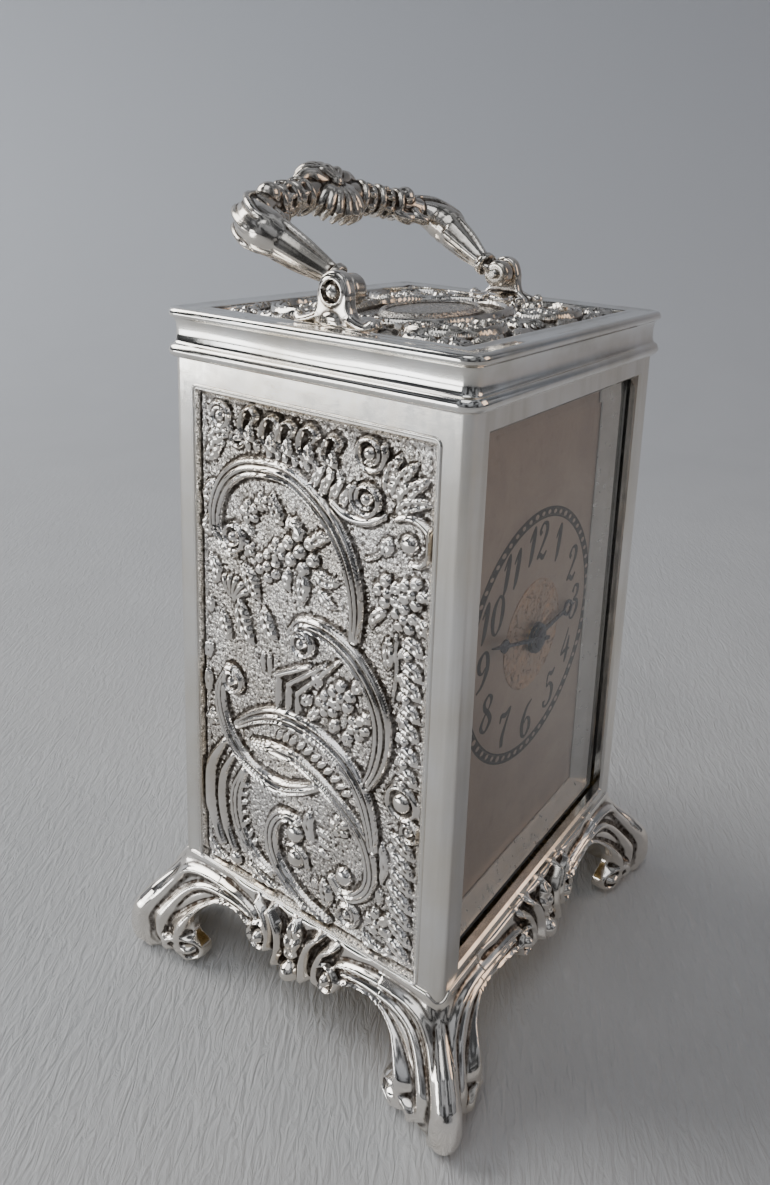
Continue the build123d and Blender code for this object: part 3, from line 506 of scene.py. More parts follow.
def material(name):
    m = Net(bpy.data.materials.new(name), "OutputMaterial", "Object")
    m.bsdf = m.node("BsdfPrincipled")
    m.put(m.out.inputs["Surface"], m.bsdf.outputs[0])
    return m


def silver(name, bright=(0.90, 0.885, 0.86), patina_and_shade_colour=(0.085, 0.066, 0.05), rough=0.13,
           recess=True, wave=0.0, haze=0.25, punched=False):
    """Silver darkened in its hollows by tarnished patina and painted shade, or with a wiped haze on plain
    walls, and punched ground.
    """
    m = material(name)
    cloud = m.noise(95, 4, 0.6)
    grain = m.noise(1400, 4, 0.65)
    scratches = [m.noise(1.0, 2, 0.5, vector=m.scaled(*s)) for s in ((5200, 5200, 240), (300, 420, 6200))]
    warm = m.mix(m.map(cloud, 0.35, 0.68), bright, (bright[0] * 0.95, bright[1] * 0.915, bright[2] * 0.85))
    if recess:
        # the hollows are darkened through a mask from the recess attribute: real patina and also painted
        # shade where the recesses would be in shadow
        patina_and_shade_mask = m.map(m.attribute("recess"), 0.03, 0.42, smooth_step=True)
        film_and_shade = m.times(patina_and_shade_mask, m.map(grain, 0.25, 0.62, 0.55, 1.0))
        film_and_shade = m.plus(film_and_shade, m.map(cloud, 0.42, 0.75, 0.0, 0.22), clamp=True)
        colour = m.mix(film_and_shade, warm, patina_and_shade_colour)
        roughness = m.plus(m.map(grain, 0.3, 0.75, rough * 0.8, rough * 1.35), m.times(film_and_shade, 0.3))
    else:
        film_and_shade = m.map(m.noise(45, 5, 0.6, 0.4), 0.45, 0.8, 0.0, haze)
        wiped = m.noise(1.0, 4, 0.6, 0.3, vector=m.scaled(260, 260, 14))
        film_and_shade = m.plus(film_and_shade, m.map(wiped, 0.45, 0.66, 0.0, 1.6 * haze), clamp=True)
        colour = m.mix(film_and_shade, warm, (0.52, 0.47, 0.41))
        roughness = m.plus(m.map(grain, 0.3, 0.75, rough * 0.75, rough * 1.3), m.times(film_and_shade, 0.25))
    normal = m.bump(m.plus(m.times(scratches[0], 0.5), m.times(scratches[1], 0.5)), 0.12, 0.00002)
    if punched:
        ground = m.attribute("punched")
        pits = m.times(m.map(m.noise(2900, 2, 0.5), 0.52, 0.64, 0.0, 0.7), ground)
        colour = m.mix(pits, colour, patina_and_shade_colour)
        roughness = m.plus(roughness, m.times(ground, 0.13))
        normal = m.bump(m.times(m.noise(2600, 2, 0.5), ground), 0.75, 0.0003, normal)
    normal = m.bump(m.noise(230, 2, 0.4), 0.35, 0.00006 + wave, normal)
    m.fill(m.bsdf, Base_Color=colour, Metallic=1.0, Roughness=roughness, Normal=normal)
    return m.owner


def plain_metal(name, base, deep, rough):
    m = material(name)
    grain = m.noise(900, 3, 0.6)
    colour = m.mix(m.map(m.noise(180, 4, 0.6), 0.3, 0.72), base, deep)
    roughness = m.map(grain, 0.3, 0.72, rough * 0.7, rough * 1.4)
    m.fill(m.bsdf, Base_Color=colour, Metallic=1.0, Roughness=roughness, Normal=m.bump(grain, 0.1, 0.00003))
    return m.owner


def dial_silvering(name):
    m = material(name)
    grain = m.noise(2600, 2, 0.5)
    base = m.mix(m.map(m.noise(70, 5, 0.62, 0.6), 0.32, 0.7), (0.37, 0.295, 0.255), (0.48, 0.39, 0.335))
    base = m.mix(m.map(m.noise(420, 4, 0.7), 0.56, 0.74, 0.0, 0.5), base, (0.30, 0.24, 0.205))
    roughness = m.map(grain, 0.3, 0.7, 0.42, 0.55)
    m.fill(m.bsdf, Base_Color=base, Metallic=0.75, Roughness=roughness, Normal=m.bump(grain, 0.15, 0.00002))
    return m.owner


def gilt(name):
    m = material(name)
    cuts = m.noise(620, 4, 0.7, 1.5)
    worn = m.map(m.noise(260, 4, 0.65), 0.4, 0.62)
    base = m.mix(worn, (0.54, 0.37, 0.27), (0.43, 0.33, 0.27))
    base = m.mix(m.map(cuts, 0.52, 0.62), base, (0.22, 0.15, 0.11))
    roughness = m.map(m.cells(900), 0.0, 0.8, 0.3, 0.5)
    m.fill(m.bsdf, Base_Color=base, Metallic=0.85, Roughness=roughness, Normal=m.bump(cuts, 0.4, 0.0001))
    return m.owner


def dark_paint(name, base, rough, metallic=0.0):
    m = material(name)
    n = m.noise(1500, 3, 0.6)
    colour = m.mix(m.map(n, 0.35, 0.7), base, tuple(2.0 * c for c in base))
    roughness = m.map(n, 0.3, 0.7, rough * 0.8, rough * 1.3)
    m.fill(m.bsdf, Base_Color=colour, Metallic=metallic, Roughness=roughness,
           Normal=m.bump(n, 0.15, 0.00002))
    return m.owner


def clear_glass(name):
    """Glass that lets light through to the dial without a hard shadow."""
    m = material(name)
    smear = m.noise(160, 3, 0.5)
    roughness = m.map(smear, 0.4, 0.8, 0.0, 0.03)
    m.fill(m.bsdf, Base_Color=(0.97, 0.985, 0.98), Roughness=roughness, Normal=m.bump(smear, 0.03, 0.00002),
           Transmission_Weight=1.0, IOR=1.3)
    clear = m.node("BsdfTransparent")
    clear.inputs[0].default_value = (0.93, 0.95, 0.94, 1)
    mix = m.node("MixShader")
    shadow = m.node("LightPath").outputs["Is Shadow Ray"]
    for index, value in enumerate((shadow, m.bsdf.outputs[0], clear.outputs[0])):
        m.put(mix.inputs[index], value)
    m.put(m.out.inputs["Surface"], mix.outputs[0])
    return m.owner


def paper(name):
    """The pale crinkled paper that the clock stands on, smoother towards the wall, and painted darker and
    bluer there as painted shade.
    """
    m = material(name)
    crease = m.noise(1.0, 4, 0.5, 1.1, vector=m.turned(VIEW_TURN, 0.0044, 0.0011, 0.01))
    depth = m.axis(m.turned(VIEW_TURN, 1, 1, 1), "X")
    near = m.map(depth, -0.02, 0.30, 1.0, 0.06, smooth_step=True)
    paper_colour_and_falloff_shade = m.mix(m.map(m.noise(26, 3, 0.6, 0.3), 0.3, 0.7), (0.50, 0.505, 0.51), (0.55, 0.555, 0.56))
    # painted shade: darker and bluer with distance, standing in for the dimmer light towards the wall
    paper_colour_and_falloff_shade = m.mix(m.map(depth, 0.02, 0.5), paper_colour_and_falloff_shade, (0.46, 0.485, 0.53))
    paper_colour_and_falloff_shade = m.mix(m.times(m.map(crease, 0.56, 0.75, 0, 0.3), near), paper_colour_and_falloff_shade, (0.66, 0.66, 0.66))
    height = m.plus(m.times(m.map(crease, 0.3, 0.8), near), m.times(m.noise(900, 4, 0.6), 0.05))
    m.fill(m.bsdf, Base_Color=paper_colour_and_falloff_shade, Roughness=0.62, Normal=m.bump(height, 0.5, 0.0005),
           Specular_IOR_Level=0.25)
    return m.owner


# the second colour of each silver is the dark of its hollows: patina and painted shade
SILVER = silver("silver_chased", (0.96, 0.925, 0.89), (0.05, 0.038, 0.028), 0.07, punched=True)
WORN = silver("silver_worn", (0.95, 0.91, 0.865), (0.05, 0.036, 0.026), 0.085)
TOP = silver("silver_top", (0.72, 0.69, 0.65), (0.06, 0.046, 0.034), 0.1, punched=True)
POLISHED = silver("silver_polished", rough=0.10, recess=False, wave=0.00006)
PLAIN = silver("silver_plain", rough=0.16, recess=False, haze=0.3)
EDGED = silver("silver_moulded", (0.93, 0.92, 0.90), rough=0.085)
CAST = silver("silver_cast", (0.74, 0.70, 0.65), (0.045, 0.034, 0.026), 0.14)
BRASS = plain_metal("brass", (0.74, 0.56, 0.27), (0.66, 0.48, 0.21), 0.26)
STEEL = plain_metal("steel", (0.56, 0.56, 0.57), (0.48, 0.48, 0.50), 0.22)
BLUED = plain_metal("blued_steel", (0.035, 0.038, 0.06), (0.06, 0.055, 0.07), 0.3)
SILVERING = dial_silvering("dial_silvering")
BEVEL = plain_metal("bevel", (0.60, 0.56, 0.53), (0.50, 0.46, 0.43), 0.34)
GILT = gilt("gilt")
NUMERAL = dark_paint("numeral_black", (0.012, 0.010, 0.010), 0.5)
# painted shadow: the glass frame is painted near black to stand for the dark shadow gap round the glass
SHADOW_GAP_BLACK = dark_paint("painted_shadow_frame", (0.022, 0.02, 0.02), 0.45, 0.6)
GLASS = clear_glass("glass")
PAPER = paper("paper")


def finish_piece(ob, mat, body, slot, *nodes):
    """Gives a finished piece its material and body, and hides the CAD nodes it replaces. The slot argument is
    not used.
    """
    ob.data.materials.clear()
    ob.data.materials.append(mat)
    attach(ob, body)
    if nodes:
        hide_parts(*nodes)


def store_recess(ob, rounds=(6, 30), gains=(9.0, 2.6)):
    """How far each point lies below its surroundings, from smoothed copies of the mesh."""
    me = ob.data
    n = len(me.vertices)
    points = read(me.vertices, "co", 3) / MM
    normals = read(me.vertices, "normal", 3)
    ends = read(me.edges, "vertices", 2, np.int32)
    here, there = ends.T
    links = np.maximum(np.bincount(ends.ravel(), minlength=n)[:, None], 1)
    total = np.zeros(n)
    s = points.copy()
    done = 0
    for until, gain in zip(rounds, gains):
        while done < until:
            near = [np.bincount(here, s[there, k], n) + np.bincount(there, s[here, k], n) for k in range(3)]
            s = 0.35 * s + 0.65 * np.stack(near, 1) / links
            done += 1
        total += gain * np.einsum("ij,ij->i", s - points, normals)
    store(me, "recess", np.clip(total, -1, 1))


def remeshed(ob, voxel, smooth_steps):
    """Fuses overlapping lumps of a cast piece into one skin and stores how recessed each point is."""
    fuse = ob.modifiers.new("fuse", "REMESH")
    fuse.mode = "VOXEL"
    fuse.voxel_size = voxel * MM
    soften = ob.modifiers.new("soften", "SMOOTH")
    soften.iterations = smooth_steps
    soften.factor = 0.5
    bpy.context.view_layer.update()
    skin = bpy.data.meshes.new_from_object(ob.evaluated_get(bpy.context.evaluated_depsgraph_get()))
    ob.modifiers.clear()
    old = ob.data
    ob.data = skin
    bpy.data.meshes.remove(old)
    skin.name = ob.name
    store_recess(ob)
    skin.polygons.foreach_set("use_smooth", np.ones(len(skin.polygons), bool))


# ------------------------------------------------------------------ the CAD pieces that are shown as they are
SHOWN_AS_THEY_ARE = (
    (POLISHED, "silver", "case_front case_rear case_left case_right"),
    (PLAIN, "silver", "case_hinges door_frame door_panel door_knob"),
    # the glass frame carries the painted shadow of the gap round the glass
    (SHADOW_GAP_BLACK, "brass", "glass_frame"),
    (GLASS, "glass", "front_glass"),
    (SILVERING, "dial_silvering", "dial_plate"),
    (BRASS, "brass",
     "base_plate dial_feet plate_front plate_back pillars seat_rails platform train_cock balance_cock "
     "key_bushings barrel barrel_cover centre_wheel minute_wheel hour_wheel third_wheel contrate_wheel "
     "escape_wheel balance"),
    (STEEL, "steel",
     "movement_screws click_screw mainspring winding_arbor ratchet_wheel click centre_arbor "
     "cannon_pinion pallet_lever regulator"),
    (BLUED, "blued_steel", "hairspring"),
)
for mat, slot, nodes in SHOWN_AS_THEY_ARE:
    for node in nodes.split():
        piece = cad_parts[node]
        piece.data.materials.clear()
        piece.data.materials.append(mat)
        shade(piece, 35)

# ------------------------------------------------------------------ side panels
CASE_HALF_X, CASE_HALF_Y = 27.0, 24.0
PANEL_FACE = 26.1
PANEL_BACK = -0.8
BEAD_HALF, BEAD_MIDDLE, BEAD_HIGH = 20.15, 53.8, 37.0
BEAD_CORNER = 0.8


def bowed(y0, z0, y1, z1, dy=0.0, dz=0.0):
    """A line between two points whose middle is pushed by dy, dz."""
    return [(y0, z0), ((y0 + y1) / 2 + dy, (z0 + z1) / 2 + dz), (y1, z1)]


def top_scroll(r):
    """The large C scroll at the top, and the crest over it."""
    r.band([(13.2, 68.2), (16.3, 71), (16.4, 74.5), (14.6, 78.2), (11.5, 80.6), (7.4, 81.5), (3, 81.3),
            (-0.8, 79.4), (-4, 76.8), (-6.6, 73), (-8, 69), (-8.4, 65.5), (-8.2, 62.2)], 3.0, 1.15, 3)
    r.volute((13.2, 70.6), 2.1, 1.1, -80, -1.2, 1.0)
    for ends in ((18.3, 80.6, 15.0, 83.6), (17.8, 83.4, 14.0, 84.8), (17.2, 85.4, 13.4, 85.4),
                 (17.0, 77.6, 18.4, 74.2),
                 (17.8, 72.6, 18.2, 69.4)):
        r.leaf(bowed(*ends, dz=0.5), 1.9, 0.85, 4)
    hook = ((1.0, -3.3), (1.7, -1.5), (1.2, 0.2), (-0.1, 0.9), (-1.1, 0.1), (-0.7, -0.9))
    blade = ((-0.3, -3.6), (0.4, -2.4), (0.3, -1.0))
    for y, z, s in ((9.9, 88.2, 1.0), (6.0, 87.7, 1.05), (3.2, 87.6, 1.0), (-0.4, 87.6, 1.05),
                    (-4.2, 87.2, 0.9)):
        r.band([(y + a * s, z + b * s) for a, b in hook], 1.15 * s, 1.2, 1, ends=(0.4, 0.85), flat=0.15)
        r.leaf([(y + a * s, z + b * s) for a, b in blade], 1.2 * s, 1.0, 1)
        r.leaf([(y + 0.9, z - 3.4), (y + 0.7, z - 5.2)], 0.8, 0.6, 1)
        r.leaf([(y - 0.7, z - 3.4), (y - 0.9, z - 5.2)], 0.8, 0.6, 1)
    r.volute((15.6, 87.2), 1.9, 0.9, 20, 1.3, 0.8)
    r.volute((12.6, 84.6), 1.2, 0.8, 200, 1.0, 0.6)
    for k in range(5):
        y = -1.6 - 1.5 * k
        r.leaf([(y + 0.9, 80.6 - 0.75 * k), (y, 82.4 - 0.6 * k), (y - 1.0, 83.8 - 0.4 * k)], 1.3, 0.8, 3)


def top_corner(r):
    """Volutes and fanned leaves in the upper corner nearest the dial."""
    r.volute((-9.8, 87.0), 2.4, 1.0, 150, 1.4, 1.0)
    r.volute((-9.5, 81.2), 2.3, 1.05, 30, -1.4, 1.0)
    r.band([(-4.2, 79.5), (-6, 78.4), (-8, 78.1), (-10, 78.4), (-12, 79.4)], 1.5, 0.95, 1)
    for ends in ((-12.4, 82.6, -14.2, 87.6), (-13.4, 82.2, -16.6, 87.0), (-14.2, 81.4, -18.4, 85.4),
                 (-14.0, 80.6, -18.9, 82.6)):
        r.leaf(bowed(*ends, 0.3, 0.3), 1.8, 0.95, 5)
    r.band([(-13.7, 79.7), (-16.4, 80.3), (-18.6, 79.2), (-19.0, 76.6), (-17.9, 74.9), (-16.3, 74.5)],
           1.3, 0.95, 1)
    r.ball((-15.9, 76.9), 1.3, 0.95)
    r.leaf([(-12.9, 76.8), (-12.3, 74.4)], 1.7, 0.85, 2)
    r.band([(-12.0, 75.0), (-10.8, 73.9), (-9.3, 73.2)], 0.6, 0.6, 1)


def bouquet(r):
    """The bunch of flowers inside the top scroll, and the leaves down its left."""
    r.flower((1.1, 71.5), 2.7, 6, 1.15, 0.3)
    for k in range(5):
        (x0, z0), (x1, z1) = (polar(radius, 70 + k * 33) for radius in (0.3, 2.1))
        r.leaf([(2.6 + x0, 73.9 + z0), (2.6 + x1, 73.9 + z1)], 1.2, 0.9, 1)
    r.leaf([(4.6, 74.6), (5.8, 76.6), (6.2, 78.4)], 1.9, 0.95, 4)
    r.flower((10.4, 74.7), 1.5, 5, 0.8)
    r.flower((8.0, 76.6), 1.2, 5, 0.75)
    r.flower((6.9, 67.9), 2.0, 6, 1.0, 0.5)
    r.flower((5.2, 70.6), 1.4, 5, 0.85)
    r.leaves(
        (1.8, 0.9, 4, (-1.2, 69.3), (-3.2, 68.6), (-5.4, 68.9)),
        (1.6, 0.85, 4, (-0.6, 72.8), (-2.2, 74.2), (-3.8, 74.4)),
        (1.9, 0.9, 4, (1.0, 68.6), (0.7, 66.4), (0.9, 64.0)),
        (1.3, 0.8, 3, (3.4, 68.3), (3.6, 66.6), (3.2, 65.2)),
        (1.4, 0.8, 3, (-2.0, 66.8), (-3.6, 65.6), (-4.9, 65.3)),
        (1.2, 0.7, 3, (9.6, 71.5), (10.9, 72.5), (12.2, 72.2)),
    )
    r.fan((13.9, 60.6), 4.2, 60, 150, 5, 1.0)
    r.leaves(
        (2.3, 1.0, 5, (11.2, 66.8), (10.0, 64.8), (8.6, 62.4)),
        (2.0, 0.95, 4, (7.6, 61.4), (7.0, 59.4), (5.4, 57.4)),
        (2.4, 1.0, 5, (12.1, 61.2), (11.6, 58.4), (9.6, 55.4)),
        (1.8, 0.85, 4, (15.6, 58.6), (15.0, 56.6), (14.0, 54.6)),
        (1.7, 0.85, 4, (17.8, 66.6), (16.6, 64.6), (17.2, 62.4)),
        (1.3, 0.8, 3, (17.9, 60.2), (18.2, 57.6)),
    )
    r.flower((10.6, 69.4), 1.1, 5, 0.7)


def middle_scroll(r):
    """The second C scroll with its stepped bars and flowers."""
    r.band([(2.2, 59.8), (0.4, 61.5), (-3.5, 61.5), (-7.5, 59.8), (-10.8, 56.6), (-12.7, 52.8), (-13, 49),
            (-12.2, 45.2), (-10.9, 42.4)], 3.2, 1.15, 3)
    r.volute((0.7, 58.6), 2.1, 1.1, 60, 1.2, 1.0)
    for y, z0, z1, end in ((4.9, 47.4, 52.6, (-0.6, 55.6)), (3.0, 47.2, 51.8, (-3.2, 56.6)),
                           (1.3, 47.4, 51.0, (-5.4, 57.8))):
        r.band(bowed(y, z0, y, z1), 1.15, 0.8, 1, ends=(1, 1))
        r.band(bowed(y, z1, *end), 1.1, 0.8, 1, ends=(1, 0.6))
    for y in (7.9, 6.7):
        r.leaf([(y, 55.0), (y, 51.6)], 0.7, 0.55, 1)
    r.flower((-6.2, 53.2), 2.0, 5, 1.0, 0.2)
    r.flower((-3.7, 51.2), 1.7, 5, 0.9)
    r.flower((-8.9, 49.8), 1.6, 5, 0.9, 0.7)
    for ends in ((-2.0, 53.0, -2.4, 55.8), (-8.2, 54.6, -9.6, 56.6), (-2.2, 49.6, -0.6, 47.6),
                 (-5.4, 49.4, -4.8, 47.2), (-7.2, 48.4, -7.6, 46.4), (-9.8, 52.0, -11.0, 51.2),
                 (-0.8, 51.2, 0.4, 49.4)):
        r.leaf(bowed(*ends, dy=0.2), 1.5, 0.85, 3)


def crossed_scrolls(r):
    """The three long scrolls that cross in the lower half."""
    r.band([(9.6, 40.2), (6, 40.9), (1.5, 40.8), (-3, 39.2), (-7, 36.8), (-10.4, 33.9), (-11.8, 30),
            (-11.4, 26.8), (-9.4, 24.4), (-7, 23.7), (-5.2, 25.2)], 2.4, 1.0, 3)
    r.ball((-7.2, 26.4), 1.4, 1.05)
    r.ticks([(6, 42.4), (1.5, 42.3), (-3, 40.8), (-7, 38.4)], 0.1, 1.7, 1.25, 0.75, 0.6, -1)
    r.band([(14.9, 49.3), (16, 46.5), (15.6, 43), (13.9, 39.6), (11, 36.9), (7.5, 35.6), (3.8, 35.5),
            (0.3, 36.8), (-2.2, 38.2)], 2.5, 1.1, 3)
    r.volute((13.6, 48.6), 2.1, 1.1, 60, 1.2, 1.0)
    r.band([(12.3, 42.3), (9, 44.6), (5, 46.3), (0.5, 46.6), (-4, 45.6), (-7.8, 43.4), (-10.3, 40.2),
            (-11.6, 36.6), (-12.2, 33.4)], 2.9, 1.15, 3)


def lower_left(r):
    """Nested arcs with a comb between them."""
    r.band([(15.3, 38.2), (18, 33.7), (18.5, 28.5), (17.9, 24.6), (16, 20.8)], 1.9, 0.95, 1)
    r.band([(13.6, 36.6), (15.7, 32.6), (16.1, 28.4), (15.3, 24.4), (13.4, 20.8)], 1.5, 0.9, 1)
    r.band([(11.4, 34.8), (12.9, 31.0), (12.9, 27.4), (11.6, 24.2), (8.8, 21.6), (5.9, 20.6)], 2.4, 1.0, 3)
    r.ticks([(10.4, 33.4), (11.0, 29.6), (10.4, 26.2), (8.9, 24.0)], 0.2, 1.9, 1.45, 0.75, 0.6, 1)
    r.ball((13.4, 19.2), 1.2, 0.85)
    r.leaf([(18.6, 19.9), (17.2, 18.4), (14.6, 18.0)], 1.5, 0.8, 4)
    r.leaf([(10.6, 19.6), (8.0, 18.2), (5.0, 18.2)], 1.6, 0.8, 4)
    r.flower((17.7, 41.2), 1.2, 5, 0.75)
    r.leaf([(18.6, 48.6), (18.6, 45.0)], 1.2, 0.75, 3)
    r.leaf([(18.3, 53.2), (18.6, 50.4)], 1.2, 0.75, 3)


def bottom_scroll(r):
    """The last scroll with its two balls."""
    r.band([(0.9, 31.4), (3.9, 31.0), (5.7, 28.6), (5.9, 25.7), (4.6, 22.8), (2, 20.3), (-1, 18.8),
            (-4.6, 18.1)],
           2.6, 1.15, 3)
    r.ball((1.7, 29.0), 1.5, 1.1)
    r.ball((1.6, 25.0), 1.5, 1.05)
    r.band([(3.4, 26.6), (1.6, 27.1), (-0.2, 26.2), (-0.8, 24.4)], 0.9, 0.8, 1)
    r.leaf([(-0.9, 33.4), (-0.7, 31.2), (-1.6, 29.0)], 1.6, 0.85, 3)
    for z in (31.6, 30.0, 28.4):
        r.leaf([(-2.6, z), (-4.6, z - 0.8)], 0.8, 0.6, 1)
    r.flower((-6.2, 33.7), 1.4, 5, 0.8)
    r.leaf([(-3.6, 23.8), (-4.2, 21.6), (-4.2, 19.8)], 2.0, 0.95, 4)
    r.leaf([(-2.0, 23.4), (-2.4, 21.6)], 1.2, 0.8, 2)
    r.volute((-8.0, 20.9), 1.9, 0.9, 100, 1.3, 0.9)
    r.flower((-13.1, 22.2), 1.8, 5, 0.9)
    r.leaf([(-10.6, 19.4), (-12.4, 18.2), (-14.8, 18.2)], 1.4, 0.8, 3)


def right_chain(r):
    """The chain of flowers, buds and leaves down the edge nearest the dial."""
    r.flower((-13.1, 70.0), 2.0, 5, 1.0)
    r.flower((-16.7, 70.8), 1.9, 5, 0.95, 0.6)
    r.flower((-15.6, 67.2), 1.8, 5, 0.95, 0.3)
    r.leaves(
        (1.6, 0.85, 3, (-17.6, 67.8), (-18.9, 65.8)),
        (1.4, 0.8, 3, (-12.6, 67.4), (-11.0, 66.0), (-10.6, 64.4)),
        (1.8, 0.9, 3, (-13.2, 63.6), (-13.5, 61.6), (-13.2, 59.6)),
    )
    r.band([(-14.4, 64.6), (-14.7, 60), (-14.2, 55.6)], 0.55, 0.6, 1)
    for z in (63.3, 60.0, 57.4, 54.4, 51.7, 48.4, 45.4):
        r.leaf([(-15.6, z + 1.0), (-17.0, z + 0.8), (-18.6, z - 0.4)], 1.7, 0.95, 3)
        r.ball((-16.2, z - 0.9), 0.7, 0.8)
        r.leaf([(-15.7, z - 0.2), (-15.0, z - 1.6)], 0.9, 0.7, 2)
    r.ball((-16.2, 41.9), 1.4, 0.95, ring=2.2)
    r.volute((-17.6, 38.4), 1.7, 0.9, 60, 1.2, 0.8)
    for z in (35.6, 32.8, 30.2, 27.6, 25.0, 22.4, 19.6):
        r.leaf([(-15.0, z + 1.1), (-16.6, z + 0.4), (-18.7, z - 1.3)], 1.7, 0.95, 4)
        r.leaf([(-15.4, z - 0.6), (-14.2, z - 1.7)], 1.0, 0.75, 2)
    r.leaf([(-13.4, 34.6), (-13.9, 31.4), (-13.4, 28.2)], 1.2, 0.8, 3)
    r.leaf([(-13.2, 27.4), (-13.4, 25.0)], 1.1, 0.8, 3)


def side_panel_relief(low, high):
    """The chased panel, drawn as y and z on the side that the photograph shows."""
    r = Relief(low[1], high[1], low[2], high[2], 0.18)
    for draw in (top_scroll, top_corner, bouquet, middle_scroll, crossed_scrolls, lower_left,
                 bottom_scroll, right_chain):
        draw(r)
    r.matt(0.115)
    # the sheet turns down into the frame all round
    edge = r.to_edge()
    r.H = r.H * np.clip((edge - 0.35) / 0.5, 0, 1)
    r.H = r.H - 0.35 * bell(edge / 0.3) + 0.3 * bell((edge - 0.75) / 0.22)
    r.H = blur(r.H)
    return r


def side_panel(panel, side, lr):
    def place(u, v, h):
        return np.stack([side * (PANEL_FACE + h), u, v], -1)

    node = "panel_" + lr
    ob = slab_from_relief("chased_" + node, panel, place, PANEL_BACK, flip=side == -1)
    finish_piece(ob, SILVER, "case", "silver", node)
    ring = []
    for sy, sz, start in ((1, 1, 0), (-1, 1, 90), (-1, -1, 180), (1, -1, 270)):
        for k in range(5):
            dy, dz = polar(BEAD_CORNER, start + 22.5 * k)
            y, z = sy * (BEAD_HALF - BEAD_CORNER) + dy, BEAD_MIDDLE + sz * (BEAD_HIGH - BEAD_CORNER) + dz
            ring.append((side * CASE_HALF_X, y, z))
    ring.append(ring[0])
    line = [np.linspace(p, q, 12, endpoint=False) for p, q in zip(ring[:-1], ring[1:])]
    line.append(np.array([ring[0]]))
    bead = tidy_mesh("panel_bead_" + lr, [tube(np.vstack(line), 0.26, 8, cap=False)], 0.002, 50)
    finish_piece(bead, PLAIN, "case", "silver")


panel = side_panel_relief(*lo_hi("panel_left"))
for side, lr in ((-1, "left"), (1, "right")):
    side_panel(panel, side, lr)

# ------------------------------------------------------------------ feet and aprons
SKIRT_TOP = 16.9
SKIRT_THICK = 1.15
WING = 9.0
CORNER = 1.4
FLARE = ((0.0, 3.9), (3.0, 5.1), (6.2, 5.0), (9.0, 3.1), (12.0, 1.2), (15.5, 0.2), (17.0, 0.1))
BULGE = ((0.0, 1.6), (5.4, 1.7), (8.0, 1.4), (12.0, 0.7), (15.5, 0.15), (17.0, 0.05))
HEIGHTS = np.arange(0, 17.3, 0.1)


def rounded(table, reach=9):
    """The table of heights and values as a curve without corners."""
    line = np.pad(np.interp(HEIGHTS, *zip(*table)), reach, mode="edge")
    weight = np.hanning(2 * reach + 3)[1:-1]
    return np.convolve(line, weight / weight.sum(), mode="valid")


FLARE_LINE = rounded(FLARE)
BULGE_LINE = rounded(BULGE)


def inside_polygon(x, y, corners):
    out = np.zeros(x.shape, bool)
    for (x0, y0), (x1, y1) in zip(corners, corners[1:] + corners[:1]):
        if y0 != y1:
            out ^= ((y0 > y) != (y1 > y)) & (x < (x1 - x0) * (y - y0) / (y1 - y0) + x0)
    return out


